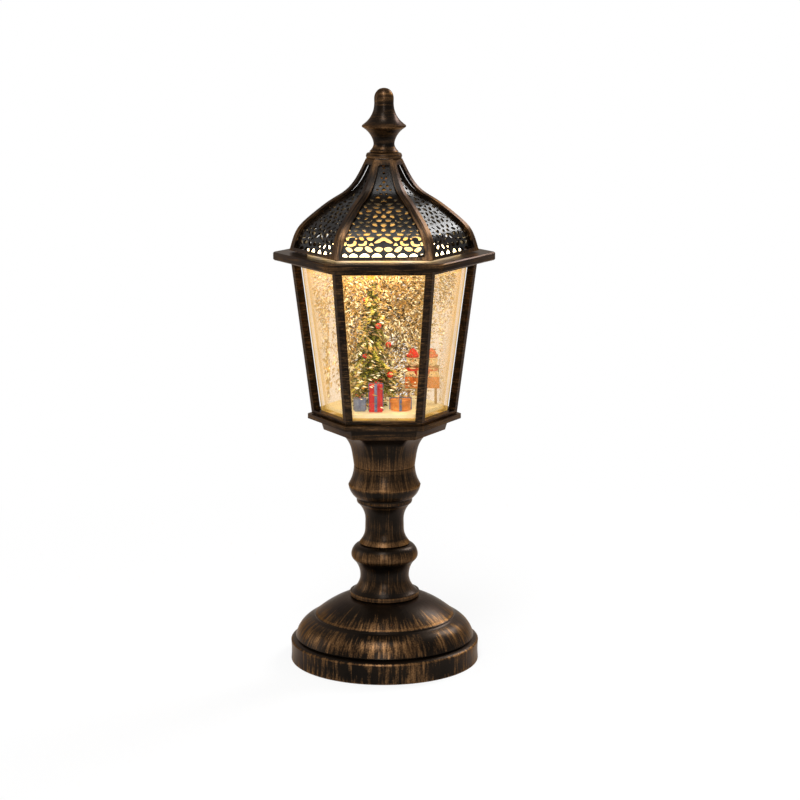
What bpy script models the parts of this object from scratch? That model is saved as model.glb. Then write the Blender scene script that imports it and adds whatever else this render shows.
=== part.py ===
"""A hexagonal Christmas lantern with a pierced ogee roof on a turned column and base.

Metres, +Z up. The origin is the middle of the underside, and one flat pane faces -Y.
A motor in the column spins a magnet, which turns the glitter impeller inside the sealed tank.
"""

import math

import bmesh
import bpy
from mathutils import Matrix, Vector

# Shared fits and fineness
CLEARANCE = 0.0003
OVERRUN = 0.002
SIDES = 6
LARGE_STEPS = 30
MEDIUM_STEPS = 18
SMALL_STEPS = 12
TINY_STEPS = 8
MERGE_DISTANCE = 0.000001

# Turned base, its steps from the table up
BASE_RADIUS = 0.0475
BASE_WALL = 0.0025
BAND_HEIGHT = 0.0104
BAND_WAIST_SHARE = -0.035
BAND_LIP = 0.0009
BAND_GROOVE_DEPTH = 0.0035
BAND_GROOVE_HEIGHT = 0.0016
TORUS_FOOT_INSET = 0.0024
TORUS_TOP_INSET = 0.0115
TORUS_HEIGHT = 0.0096
TORUS_BULGE_SHARE = 0.13
STEP_HEIGHT = 0.0010
STEP_GROOVE = 0.0006
CROWN_LIP_INSET = 0.0122
CROWN_HEIGHT = 0.0099
CROWN_BULGE_SHARE = 0.05
CROWN_TOP_MARGIN = 0.0008

# Column foot: a ring, a waist and a disc
FOOT_HEIGHT = 0.0270
FOOT_RING_RADIUS = 0.0177
FOOT_RING_HEIGHT = 0.0020
FOOT_NECK_RADIUS = 0.0168
FOOT_WAIST_RADIUS = 0.0123
FOOT_WAIST_HEIGHT = 0.0103
FOOT_RIDGE_RADIUS = 0.0148
FOOT_RIDGE_HEIGHT = 0.0175
FOOT_DISC_RADIUS = 0.0172
FOOT_DISC_HEIGHT = 0.0208
FOOT_TOP_RADIUS = 0.0130
FOOT_RING_BULGE_SHARE = 0.0125
FOOT_NECK_BULGE_SHARE = -0.12
FOOT_RIDGE_BULGE_SHARE = -0.09
FOOT_DISC_BULGE_SHARE = 0.12
FOOT_TOP_BULGE_SHARE = 0.16

# Column spool and its ring
SPOOL_HEIGHT = 0.0200
SPOOL_RADIUS = 0.0129
SPOOL_WAIST_RADIUS = 0.0099
SPOOL_WAIST_HEIGHT = 0.0092
SPOOL_RING_RADIUS = 0.0142
SPOOL_RING_HEIGHT = 0.0035
SPOOL_BULGE_SHARE = -0.13
SPOOL_RING_BULGE_SHARE = 0.2

# Column bulb, which holds the motor
BULB_HEIGHT = 0.0160
BULB_FOOT_RADIUS = 0.0150
BULB_RIDGE_RADIUS = 0.0184
BULB_RIDGE_HEIGHT = 0.0062
BULB_TOP_RADIUS = 0.0155
BULB_FLOOR = 0.0030
BULB_FOOT_BULGE_SHARE = 0.10
BULB_TOP_BULGE_SHARE = -0.07

# Neck cup, round below and hexagonal above
CUP_HEIGHT = 0.0179
CUP_SHOULDER_HEIGHT = 0.0080
CUP_SHOULDER_RADIUS = 0.0166
CUP_TOP_RADIUS = 0.0250
CUP_POCKET_RADIUS = 0.0143
CUP_CORNER = 0.0012
CUP_BULGE_SHARE = -0.13
CUP_SHOULDER_SQUARE_SHARE = 0.45
CUP_LEVELS = 4

# Hexagonal sill
SILL_FOOT_RADIUS = 0.0303
SILL_UNDER_RADIUS = 0.0320
SILL_UNDER_HEIGHT = 0.0057
SILL_FLANGE_RADIUS = 0.0381
SILL_FLANGE_HEIGHT = 0.0027
SILL_CHAMBER_RADIUS = 0.0260
SILL_FLOOR = 0.0020
HEX_CORNER = 0.0010

# Window frame, six posts and two rails in one moulding
FRAME_HEIGHT = 0.0762
FRAME_FOOT_RADIUS = 0.0361
FRAME_TOP_RADIUS = 0.0458
POST_FACE = 0.0031
POST_DEPTH = 0.0036
LOW_RAIL = 0.0017
TOP_RAIL = 0.0022

# Roof plate, ogee ribs and filigree panels
PLATE_OVERHANG = 0.0091
PLATE_HEIGHT = 0.0042
PLATE_CORNER = 0.0035
PLATE_EDGE = 0.0005
PLATE_SEAT = 0.0104
DOME_LEDGE = 0.0085
DOME_HEIGHT = 0.0456
DOME_SWEEP_RADIUS_SHARE = 0.6013
DOME_SWEEP_HEIGHT = 0.0242
DOME_TOP_RADIUS = 0.0088
BELLY_FOOT_PULL_SHARE = (-0.082, 0.296)
BELLY_TOP_PULL_SHARE = (0.369, -0.293)
NECK_FOOT_PULL_SHARE = (-0.137, 0.109)
NECK_TOP_PULL_SHARE = (0.149, -0.404)
DOME_LEVELS = 8
RIB_THICKNESS = 0.0015
RIB_SEAT_SHARE = 0.35
RIB_FOOT_WIDTH = 0.0036
RIB_TOP_WIDTH = 0.0024
PANEL_THICKNESS = 0.0012
DOME_FOOT_RAIL = 0.0022
DOME_TOP_RAIL = 0.0030

# Crown collar and finial
COLLAR_HEIGHT = 0.0030
COLLAR_BULGE_SHARE = 0.25
FINIAL_NECK_BULGE_SHARE = -0.10
FINIAL_CUP_BULGE_SHARE = -0.12
FINIAL_SPIRE_BULGE_SHARE = -0.14
FINIAL_BALL_BULGE_SHARE = 0.20
FINIAL_HEIGHT = 0.0307
FINIAL_FOOT_RADIUS = 0.0076
FINIAL_NECK_RADIUS = 0.0050
FINIAL_NECK_HEIGHT = 0.0038
FINIAL_KNOP_RADIUS = 0.0109
FINIAL_KNOP_HEIGHT = 0.0118
FINIAL_SPIRE_RADIUS = 0.0047
FINIAL_SPIRE_HEIGHT = 0.0232
FINIAL_BALL_RADIUS = 0.0050
FINIAL_BALL_HEIGHT = 0.0260
STUD_RADIUS = 0.0020
STUD_LENGTH = 0.0040
KNOP_EDGE = 0.0008
NUT_RADIUS = 0.0045
NUT_HEIGHT = 0.0026

# Tie tube that clamps the column, with its nuts
TUBE_RADIUS = 0.0050
TUBE_WALL = 0.0013
TUBE_NUT_RADIUS = 0.0085
TUBE_NUT_HEIGHT = 0.0030
TUBE_END = 0.0008

# Motor, plate and magnets
MOTOR_RADIUS = 0.0080
MOTOR_HEIGHT = 0.0150
MOTOR_BOSS_RADIUS = 0.0030
MOTOR_BOSS_HEIGHT = 0.0010
MOTOR_POCKET_RADIUS = 0.0120
MOTOR_PLATE_HEIGHT = 0.0015
MOTOR_SHAFT_RADIUS = 0.0010
DRIVE_MAGNET_RADIUS = 0.0080
DRIVE_MAGNET_HEIGHT = 0.0030
MAGNET_LIFT = 0.0030
MAGNET_GAP = 0.0014

# Tank, its lid and what turns in it
TANK_WALL = 0.0020
TANK_CORNER = 0.0040
WELL_RADIUS = 0.0110
WELL_WALL = 0.0012
WELL_FLOOR = 0.0015
IMPELLER_PIN_RADIUS = 0.0010
IMPELLER_RADIUS = 0.0086
IMPELLER_MAGNET_HEIGHT = 0.0026
IMPELLER_HEIGHT = 0.0066
IMPELLER_HUB_RADIUS = 0.0026
BLADE_COUNT = 6
BLADE_THICKNESS = 0.0010
GASKET_HEIGHT = 0.0007
LID_HEIGHT = 0.0017
LID_SKIRT = 0.0030
LID_SKIRT_WALL = 0.0015
PLUG_RADIUS = 0.0045
PLUG_HEAD_RADIUS = 0.0065
PLUG_HEAD_HEIGHT = 0.0014

# Lamp over the tank
DIFFUSER_LAND = 0.0020
DIFFUSER_HEIGHT = 0.0012
PEG_RADIUS = 0.0012
PEG_HEIGHT = 0.0040
PEG_CIRCLE_RADIUS = 0.0135
BOARD_RADIUS = 0.0165
BOARD_HEIGHT = 0.0014
PEG_COUNT = 3
LED_RADIUS = 0.0045
LED_HEIGHT = 0.0030
LED_BULGE_SHARE = 0.15

# Snow ground and the little scene on it
SNOW_HEIGHT = 0.0013
DRIFT_HEIGHT = 0.0010
SLOT_COUNT = 4
SLOT_WIDTH = 0.0014
SLOT_INNER = 0.0050
SLOT_OUTER = 0.0088
SLOT_START = math.radians(45)
SLOT_STEP = math.radians(30)
SNOW_RING_SHARES = (0.85, 0.60, 0.30)
DRIFT_TURN = 2.3
DRIFT_SHIFT = 5.0
TREE_X = -0.0064
TREE_Y = 0.0010
TREE_HEIGHT = 0.0612
TRUNK_RADIUS = 0.0018
TRUNK_HEIGHT = 0.0062
TREE_RADIUS = 0.0140
TREE_TIERS = 5
TREE_POINTS = 9
TREE_TAPER_POWER_SHARE = 0.9
SKIRT_NOTCH_SHARE = 0.22
SKIRT_TOP_SHARE = 0.42
SKIRT_LIFT_SHARE = 0.15
STAR_RADIUS = 0.0036
STAR_THICKNESS = 0.0014
STAR_WAIST_SHARE = 0.45
STAR_POINTS = 5
SEAT_X = 0.0187
SEAT_Y = 0.0020
SEAT_WIDTH = 0.0170
SEAT_DEPTH = 0.0088
SEAT_THICKNESS = 0.0012
SEAT_HEIGHT = 0.0100
BENCH_BACK_HEIGHT = 0.0080
LEG_WIDTH = 0.0012
SNOWMAN_PITCH = 0.0092
SNOWMAN_BODY_RADIUS = 0.0040
SNOWMAN_HEAD_RADIUS = 0.0032
HAT_HEIGHT = 0.0048
BODY_SQUAT_SHARE = 0.88
SEAT_PRINT_SHARE = 0.6
NECK_SHARE = 0.62
HAT_BRIM_SHARE = 0.8
BALL_BULGE_SHARE = 0.25
HAT_BULGE_SHARE = 0.12
BLANKET_THICKNESS = 0.0010
BLANKET_DROP = 0.0022
BLANKET_RISE = 0.0036
TALL_GIFT = (0.0070, 0.0060, 0.0135)
TALL_GIFT_X = -0.0040
TALL_GIFT_Y = -0.0178
SMALL_GIFT = (0.0060, 0.0055, 0.0058)
SMALL_GIFT_X = -0.0118
SMALL_GIFT_Y = -0.0162
ROUND_GIFT_RADIUS = 0.0053
ROUND_GIFT_HEIGHT = 0.0060
ROUND_GIFT_X = 0.0080
ROUND_GIFT_Y = -0.0140
RIBBON = 0.0008
RIBBON_SHARE = 0.2
ROUND_GIFT_LID_SHARE = 0.7
LID_BULGE_SHARE = 0.08

# Underside: plate, battery bay, door and switch
BASE_PLATE_HEIGHT = 0.0020
CELL_RADIUS = 0.0052
CELL_LENGTH = 0.0445
CELL_COUNT = 3
CELL_NUB_RADIUS = 0.0019
CELL_NUB_HEIGHT = 0.0010
CONTACT_THICKNESS = 0.0005
LEAF_LENGTH = 0.0028
LEAF_WIDTH = 0.0044
BAY_Y = -0.0080
BAY_WALL = 0.0012
DOOR_THICKNESS = 0.0016
DOOR_LAND = 0.0022
LATCH_WIDTH = 0.0090
LATCH_DEPTH = 0.0030
SWITCH_INSET = 0.0185
SWITCH_SIZE = (0.0130, 0.0066, 0.0042)
SWITCH_TRAVEL = 0.0060
SLIDER_SIZE = (0.0036, 0.0030)
SLIDER_RECESS = 0.0004
SLIDER_ROOT = 0.0015
SCREW_COUNT = 3
SCREW_INSET = 0.0070
SCREW_RADIUS = 0.0012
SCREW_HEAD_RADIUS = 0.0022
SCREW_HEAD_HEIGHT = 0.0011
SCREW_LENGTH = 0.0080
BOSS_RADIUS = 0.0030
BOSS_HEIGHT = 0.0130
CHIP_SIZE = (0.0050, 0.0050, 0.0012)
CONTROL_BOARD_SIZE = (0.0280, 0.0170, 0.0014)
CONTROL_BOARD_INSET = 0.0155
BOARD_GAP = 0.0050
BOARD_POST_RADIUS = 0.0016
USB_SIZE = (0.0090, 0.0095, 0.0032)
USB_WALL = 0.0005
USB_RECESS = 0.0010
USB_TONGUE_SHARE = (0.70, 0.60, 0.28)

# Leads
LEAD_RADIUS = 0.0007
LEAD_ANGLE = math.radians(120)
LEAD_SLOT = 0.0022

# Sizes that follow the base, the frame and the roof plate
BAND_GROOVE_RADIUS = BASE_RADIUS - BAND_GROOVE_DEPTH
TORUS_FOOT_RADIUS = BASE_RADIUS - TORUS_FOOT_INSET
TORUS_TOP_RADIUS = BASE_RADIUS - TORUS_TOP_INSET
CROWN_LIP_RADIUS = BASE_RADIUS - CROWN_LIP_INSET
CROWN_TOP_RADIUS = FOOT_RING_RADIUS + CROWN_TOP_MARGIN
SCREW_CIRCLE_RADIUS = BASE_RADIUS - SCREW_INSET
SWITCH_Y = BASE_RADIUS - SWITCH_INSET
CONTROL_BOARD_Y = BASE_RADIUS - CONTROL_BOARD_INSET
PLATE_RADIUS = FRAME_TOP_RADIUS + PLATE_OVERHANG
DOME_FOOT_RADIUS = PLATE_RADIUS - DOME_LEDGE
DOME_SWEEP_RADIUS = DOME_FOOT_RADIUS * DOME_SWEEP_RADIUS_SHARE
PLATE_OPENING_RADIUS = DOME_FOOT_RADIUS - PLATE_SEAT
DIFFUSER_RADIUS = PLATE_OPENING_RADIUS + DIFFUSER_LAND

# Levels of the stack, each piece standing on the one below
BASE_TOP = BAND_HEIGHT + BAND_GROOVE_HEIGHT + TORUS_HEIGHT + STEP_HEIGHT + CROWN_HEIGHT
FOOT_TOP = BASE_TOP + FOOT_HEIGHT
SPOOL_TOP = FOOT_TOP + SPOOL_HEIGHT + SPOOL_RING_HEIGHT
BULB_TOP = SPOOL_TOP + BULB_HEIGHT
CUP_TOP = BULB_TOP + CUP_HEIGHT
SILL_TOP = CUP_TOP + SILL_UNDER_HEIGHT + SILL_FLANGE_HEIGHT
FRAME_TOP = SILL_TOP + FRAME_HEIGHT
PLATE_TOP = FRAME_TOP + PLATE_HEIGHT
DOME_TOP = PLATE_TOP + DOME_HEIGHT
COLLAR_TOP = DOME_TOP + COLLAR_HEIGHT
APOTHEM = math.cos(math.pi / SIDES)
COLUMN_BORE = TUBE_RADIUS + CLEARANCE

# Places that several pieces share
FRAME_SLOPE = (FRAME_TOP_RADIUS - FRAME_FOOT_RADIUS) / FRAME_HEIGHT
MOTOR_FOOT = SPOOL_TOP + BULB_FLOOR + TUBE_NUT_HEIGHT + TUBE_END + LEAD_SLOT
MOTOR_TOP = MOTOR_FOOT + MOTOR_HEIGHT
MAGNET_FOOT = MOTOR_TOP + MOTOR_PLATE_HEIGHT + MAGNET_LIFT
WELL_FOOT = MAGNET_FOOT + DRIVE_MAGNET_HEIGHT + MAGNET_GAP
TANK_FLOOR = SILL_TOP + TANK_WALL
SNOW_TOP = TANK_FLOOR + CLEARANCE + SNOW_HEIGHT
LID_FOOT = FRAME_TOP - CLEARANCE - LID_HEIGHT
TANK_TOP = LID_FOOT - GASKET_HEIGHT - 2 * CLEARANCE
BOARD_FOOT = PLATE_TOP + CLEARANCE + DIFFUSER_HEIGHT + PEG_HEIGHT
LEAD_HOLE_RADIUS = CUP_POCKET_RADIUS - LEAD_RADIUS - CLEARANCE


class Outline:
    """The outline of a turned piece: radius and height, drawn in strokes."""

    def __init__(self, radius, height):
        self.points = [(radius, height)]

    def line(self, radius, height):
        self.points.append((radius, height))
        return self

    def arc(self, radius, height, bulge_share, steps):
        """A circular arc, its rise given as a share of the chord, outward when positive."""
        start = Vector(self.points[-1])
        chord = Vector((radius, height)) - start
        across = Vector((chord.y, -chord.x))
        half_angle = 2 * math.atan(2 * abs(bulge_share))
        side = math.copysign(1, bulge_share)
        for step in range(1, steps):
            turn = half_angle * (2 * step / steps - 1)
            along = 0.5 + 0.5 * math.sin(turn) / math.sin(half_angle)
            rise = (math.cos(turn) - math.cos(half_angle)) / (2 * math.sin(half_angle))
            self.points.append(tuple(start + chord * along + across * rise * side))
        return self.line(radius, height)

    def curve(self, first_pull, second_pull, radius, height, steps):
        """A cubic curve, with the offsets of its handles from its two ends."""
        start = Vector(self.points[-1])
        end = Vector((radius, height))
        cage = (start, start + Vector(first_pull), end + Vector(second_pull), end)
        for step in range(1, steps + 1):
            self.points.append(tuple(cubic(cage, step / steps)))
        return self


def cubic(cage, share):
    """The point of a cubic curve with these four control points."""
    rest = 1 - share
    return (cage[0] * rest ** 3 + cage[1] * (3 * rest ** 2 * share)
            + cage[2] * (3 * rest * share ** 2) + cage[3] * share ** 3)


def material(name, colour, roughness, metallic, glow=0.0, alpha=1.0):
    """A Principled material with one colour."""
    found = bpy.data.materials.get(name)
    if found:
        return found
    made = bpy.data.materials.new(name)
    made.use_nodes = True
    shader = made.node_tree.nodes["Principled BSDF"]
    shader.inputs["Base Color"].default_value = (*colour, 1.0)
    shader.inputs["Roughness"].default_value = roughness
    shader.inputs["Metallic"].default_value = metallic
    shader.inputs["Emission Color"].default_value = (*colour, 1.0)
    shader.inputs["Emission Strength"].default_value = glow
    shader.inputs["Alpha"].default_value = alpha
    made.diffuse_color = (*colour, alpha)
    return made


def bronze():
    return material("antique_bronze", (0.085, 0.048, 0.026), 0.42, 0.75)


def worn_bronze():
    return material("worn_bronze", (0.23, 0.125, 0.06), 0.38, 0.8)


def clear_plastic():
    return material("clear_acrylic", (0.93, 0.95, 0.95), 0.05, 0.0, alpha=0.3)


def black_plastic():
    return material("black_plastic", (0.03, 0.027, 0.025), 0.5, 0.0)


def steel():
    return material("zinc_steel", (0.55, 0.56, 0.57), 0.35, 1.0)


def place(bm, name, finish, smooth_angle=0.7):
    """Makes an object of a bmesh, with outward faces and one material."""
    bmesh.ops.recalc_face_normals(bm, faces=bm.faces[:])
    mesh = bpy.data.meshes.new(name)
    bm.to_mesh(mesh)
    bm.free()
    mesh.shade_smooth()
    mesh.set_sharp_from_angle(angle=smooth_angle)
    mesh.materials.append(finish)
    obj = bpy.data.objects.new(name, mesh)
    bpy.context.scene.collection.objects.link(obj)
    return obj


def turned(name, outline, steps, finish, ring=False):
    """Spins an outline about Z. A ring's outline closes on itself, any other ends on the axis."""
    bm = bmesh.new()
    corners = [bm.verts.new((radius, 0, height)) for radius, height in outline.points]
    pairs = list(zip(corners, corners[1:]))
    if ring:
        pairs.append((corners[-1], corners[0]))
    edges = [bm.edges.new(pair) for pair in pairs]
    bmesh.ops.spin(bm, geom=corners + edges, cent=(0, 0, 0), axis=(0, 0, 1),
                   angle=2 * math.pi, steps=steps, use_merge=True)
    bmesh.ops.remove_doubles(bm, verts=bm.verts[:], dist=MERGE_DISTANCE)
    return place(bm, name, finish)


def circle(radius, height, count):
    """A ring of points, the first on +X."""
    return [Vector((radius * math.cos(2 * math.pi * k / count),
                    radius * math.sin(2 * math.pi * k / count), height)) for k in range(count)]


def hexagon(radius, height, corner=HEX_CORNER):
    """A hexagon with corners on the X axis, each corner cut back by two short edges."""
    points = []
    for k in range(SIDES):
        angle = 2 * math.pi * k / SIDES
        tip = Vector((math.cos(angle), math.sin(angle), 0)) * radius
        blunt = corner * (1 / APOTHEM - 1)
        for turn in (-1, 0, 1):
            side = Vector((math.cos(angle + turn * 2 * math.pi / 3),
                           math.sin(angle + turn * 2 * math.pi / 3), 0))
            point = tip + side * corner / math.sqrt(3) if turn else tip * (1 - blunt / radius)
            points.append(point + Vector((0, 0, height)))
    return points


def lofted(name, rings, finish, ring=False, smooth_angle=0.7):
    """Bridges rings of equal count, and caps the ends or joins the last ring to the first."""
    bm = bmesh.new()
    loops = [[bm.verts.new(point) for point in points] for points in rings]
    joins = list(zip(loops, loops[1:]))
    if ring:
        joins.append((loops[-1], loops[0]))
    for low, high in joins:
        count = len(low)
        for k in range(count):
            bm.faces.new((low[k], low[(k + 1) % count], high[(k + 1) % count], high[k]))
    if not ring:
        bm.faces.new(reversed(loops[0]))
        bm.faces.new(loops[-1])
    return place(bm, name, finish, smooth_angle)


def box(bm, low, high):
    """Adds a box between two corners."""
    middle = (Vector(low) + Vector(high)) / 2
    size = Vector(high) - Vector(low)
    bmesh.ops.create_cube(bm, size=1, matrix=Matrix.Translation(middle) @ Matrix.Diagonal((*size, 1)))


def rod(bm, radius, foot, head, count=SMALL_STEPS):
    """Adds a round rod between two points."""
    foot = Vector(foot)
    run = Vector(head) - foot
    turn = run.to_track_quat("Z", "Y").to_matrix().to_4x4()
    bmesh.ops.create_cone(bm, cap_ends=True, segments=count, radius1=radius, radius2=radius,
                          depth=run.length, matrix=Matrix.Translation(foot + run / 2) @ turn)


def cutter(bm, name):
    """Makes a guide object that only cuts other pieces."""
    obj = place(bm, name, material("cutter", (1.0, 0.0, 1.0), 0.5, 0.0))
    obj.hide_render = True
    obj.display_type = "WIRE"
    return obj


def combine(target, tool, operation):
    """Adds an exact Boolean."""
    boolean = target.modifiers.new(operation.lower(), "BOOLEAN")
    boolean.operation = operation
    boolean.solver = "EXACT"
    boolean.object = tool
    return target


def polar(radius, angle, height):
    return Vector((radius * math.cos(angle), radius * math.sin(angle), height))


def frame_radius(height):
    """Corner radius of the tapering cage at a height."""
    return FRAME_FOOT_RADIUS + FRAME_SLOPE * (height - SILL_TOP)


def inner_radius(height, depth):
    """Corner radius of a surface that lies this deep behind the cage's outer face."""
    return frame_radius(height) - depth / APOTHEM


def round_ring(radius, height):
    """A circle with as many points as a hexagon here, for blending the two."""
    count = 3 * SIDES
    step = 2 * math.pi / count
    return [polar(radius, (k - 1) * step, height) for k in range(count)]


def blended_ring(radius, height, square_share):
    """A ring between a circle and a hexagon of the same corner radius."""
    flat = hexagon(radius, height, CUP_CORNER)
    curved = round_ring(radius, height)
    return [soft.lerp(hard, square_share) for soft, hard in zip(curved, flat)]


def base_shell():
    """Weighted-looking turned foot, hollow underneath, with a round seat for the column."""
    groove = BAND_HEIGHT + BAND_GROOVE_HEIGHT
    torus_top = groove + TORUS_HEIGHT
    crown = torus_top + STEP_HEIGHT
    outline = Outline(BASE_RADIUS, 0)
    outline.arc(BASE_RADIUS, BAND_HEIGHT - BAND_LIP, BAND_WAIST_SHARE, 2)
    outline.line(BASE_RADIUS - BAND_LIP, BAND_HEIGHT)
    outline.line(BAND_GROOVE_RADIUS, BAND_HEIGHT + BAND_GROOVE_HEIGHT / 2)
    outline.line(TORUS_FOOT_RADIUS, groove)
    outline.arc(TORUS_TOP_RADIUS, torus_top, TORUS_BULGE_SHARE, 5)
    outline.line(TORUS_TOP_RADIUS - STEP_GROOVE, torus_top + STEP_HEIGHT / 2)
    outline.line(CROWN_LIP_RADIUS, crown)
    outline.arc(CROWN_TOP_RADIUS, BASE_TOP - CLEARANCE, CROWN_BULGE_SHARE, 4)
    outline.line(COLUMN_BORE, BASE_TOP - CLEARANCE)
    outline.line(COLUMN_BORE, BASE_TOP - BASE_WALL)
    outline.line(CROWN_TOP_RADIUS - BASE_WALL, BASE_TOP - BASE_WALL)
    outline.arc(CROWN_LIP_RADIUS - BASE_WALL, crown - BASE_WALL, -CROWN_BULGE_SHARE, 1)
    outline.arc(BASE_RADIUS - BASE_WALL, BAND_HEIGHT - BASE_WALL, -TORUS_BULGE_SHARE, 2)
    outline.line(BASE_RADIUS - BASE_WALL, 0)
    shell = turned("base_shell", outline, LARGE_STEPS, bronze(), ring=True)
    bm = bmesh.new()
    width, _, height = USB_SIZE
    foot = usb_foot()
    box(bm, (-width / 2 - CLEARANCE, BASE_RADIUS - BASE_WALL - OVERRUN, foot - CLEARANCE),
        (width / 2 + CLEARANCE, BASE_RADIUS + OVERRUN, foot + height + CLEARANCE))
    combine(shell, cutter(bm, "usb_window"), "DIFFERENCE")
    bosses = bmesh.new()
    pilots = bmesh.new()
    boss_foot = BASE_PLATE_HEIGHT + CLEARANCE
    for at in screw_places():
        rod(bosses, BOSS_RADIUS, at + Vector((0, 0, boss_foot)), at + Vector((0, 0, BOSS_HEIGHT)))
        rod(pilots, SCREW_RADIUS + CLEARANCE, at, at + Vector((0, 0, SCREW_LENGTH + CLEARANCE + OVERRUN)),
            TINY_STEPS)
    combine(shell, cutter(bosses, "screw_bosses"), "UNION")
    return combine(shell, cutter(pilots, "screw_pilots"), "DIFFERENCE")


def screw_places():
    """Middles of the screws that hold the base plate."""
    return [polar(SCREW_CIRCLE_RADIUS, math.pi / SIDES + 2 * math.pi * k / SCREW_COUNT, 0)
            for k in range(SCREW_COUNT)]


def column_foot():
    """Ring, waist and disc, bored for the tie tube."""
    outline = Outline(FOOT_RING_RADIUS, BASE_TOP)
    outline.arc(FOOT_RING_RADIUS, BASE_TOP + FOOT_RING_HEIGHT, FOOT_RING_BULGE_SHARE, 2)
    outline.line(FOOT_NECK_RADIUS, BASE_TOP + FOOT_RING_HEIGHT)
    outline.arc(FOOT_WAIST_RADIUS, BASE_TOP + FOOT_WAIST_HEIGHT, FOOT_NECK_BULGE_SHARE, 4)
    outline.arc(FOOT_RIDGE_RADIUS, BASE_TOP + FOOT_RIDGE_HEIGHT, FOOT_RIDGE_BULGE_SHARE, 2)
    outline.arc(FOOT_DISC_RADIUS, BASE_TOP + FOOT_DISC_HEIGHT, FOOT_DISC_BULGE_SHARE, 3)
    outline.arc(FOOT_TOP_RADIUS, FOOT_TOP - CLEARANCE, FOOT_TOP_BULGE_SHARE, 3)
    outline.line(COLUMN_BORE, FOOT_TOP - CLEARANCE)
    outline.line(COLUMN_BORE, BASE_TOP)
    return turned("column_foot", outline, MEDIUM_STEPS, bronze(), ring=True)


def column_spool():
    """Waisted spool with a proud ring at its top."""
    ring_foot = FOOT_TOP + SPOOL_HEIGHT
    outline = Outline(SPOOL_RADIUS, FOOT_TOP)
    outline.arc(SPOOL_WAIST_RADIUS, FOOT_TOP + SPOOL_WAIST_HEIGHT, SPOOL_BULGE_SHARE, 3)
    outline.arc(SPOOL_RADIUS, ring_foot, SPOOL_BULGE_SHARE, 3)
    outline.arc(SPOOL_RING_RADIUS, ring_foot + SPOOL_RING_HEIGHT / 2, SPOOL_RING_BULGE_SHARE, 3)
    outline.line(SPOOL_RING_RADIUS, SPOOL_TOP - CLEARANCE)
    outline.line(COLUMN_BORE, SPOOL_TOP - CLEARANCE)
    outline.line(COLUMN_BORE, FOOT_TOP)
    return turned("column_spool", outline, MEDIUM_STEPS, bronze(), ring=True)


def column_bulb():
    """Ridged bulb, bored for the tie tube below and for the motor above."""
    outline = Outline(BULB_FOOT_RADIUS, SPOOL_TOP)
    outline.arc(BULB_RIDGE_RADIUS, SPOOL_TOP + BULB_RIDGE_HEIGHT, BULB_FOOT_BULGE_SHARE, 4)
    outline.arc(BULB_TOP_RADIUS, BULB_TOP - CLEARANCE, BULB_TOP_BULGE_SHARE, 4)
    outline.line(MOTOR_POCKET_RADIUS, BULB_TOP - CLEARANCE)
    outline.line(MOTOR_POCKET_RADIUS, SPOOL_TOP + BULB_FLOOR)
    outline.line(COLUMN_BORE, SPOOL_TOP + BULB_FLOOR)
    outline.line(COLUMN_BORE, SPOOL_TOP)
    return turned("column_bulb", outline, MEDIUM_STEPS, bronze(), ring=True)


def neck_cup():
    """Blends from the round column to the hexagonal sill."""
    shoulder = BULB_TOP + CUP_SHOULDER_HEIGHT
    shelf = MOTOR_TOP - CLEARANCE
    rings = [blended_ring(BULB_TOP_RADIUS, BULB_TOP, 0)]
    rings.append(blended_ring(CUP_SHOULDER_RADIUS, shoulder, CUP_SHOULDER_SQUARE_SHARE))
    sweep = Outline(CUP_SHOULDER_RADIUS, shoulder)
    sweep.arc(CUP_TOP_RADIUS, CUP_TOP - CLEARANCE, CUP_BULGE_SHARE, CUP_LEVELS)
    for step, (radius, height) in enumerate(sweep.points[1:], start=1):
        share = CUP_SHOULDER_SQUARE_SHARE + (1 - CUP_SHOULDER_SQUARE_SHARE) * step / CUP_LEVELS
        rings.append(blended_ring(radius, height, share))
    rings.append(round_ring(CUP_POCKET_RADIUS, CUP_TOP - CLEARANCE))
    rings.append(round_ring(CUP_POCKET_RADIUS, shelf))
    rings.append(round_ring(MOTOR_POCKET_RADIUS, shelf))
    rings.append(round_ring(MOTOR_POCKET_RADIUS, BULB_TOP))
    return lofted("neck_cup", rings, bronze(), ring=True)


def sill():
    """Hexagonal tray that carries the cage and the tank."""
    flange = CUP_TOP + SILL_UNDER_HEIGHT
    top = SILL_TOP - CLEARANCE
    floor = CUP_TOP + SILL_FLOOR
    hole = WELL_RADIUS + CLEARANCE
    rings = [
        hexagon(SILL_FOOT_RADIUS, CUP_TOP), hexagon(SILL_UNDER_RADIUS, flange),
        hexagon(SILL_FLANGE_RADIUS, flange), hexagon(SILL_FLANGE_RADIUS, top),
        hexagon(SILL_CHAMBER_RADIUS, top), hexagon(SILL_CHAMBER_RADIUS, floor),
        round_ring(hole, floor), round_ring(hole, CUP_TOP),
    ]
    tray = lofted("sill", rings, bronze(), ring=True, smooth_angle=0.4)
    bm = bmesh.new()
    hole_place = polar(LEAD_HOLE_RADIUS, LEAD_ANGLE, 0)
    rod(bm, LEAD_SLOT / 2, hole_place + Vector((0, 0, CUP_TOP - OVERRUN)),
        hole_place + Vector((0, 0, floor + OVERRUN)), TINY_STEPS)
    far = lead_post_radius(SILL_TOP) + LEAD_SLOT / 2
    near = SILL_CHAMBER_RADIUS * APOTHEM - OVERRUN
    turn = Matrix.Rotation(LEAD_ANGLE, 4, "Z")
    slot = bmesh.new()
    box(slot, (near, -LEAD_SLOT / 2, top - LEAD_SLOT + LEAD_RADIUS),
        (far, LEAD_SLOT / 2, top + OVERRUN))
    slot.transform(turn)
    combine(tray, cutter(bm, "sill_lead_hole"), "DIFFERENCE")
    return combine(tray, cutter(slot, "sill_lead_slot"), "DIFFERENCE")


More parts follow.
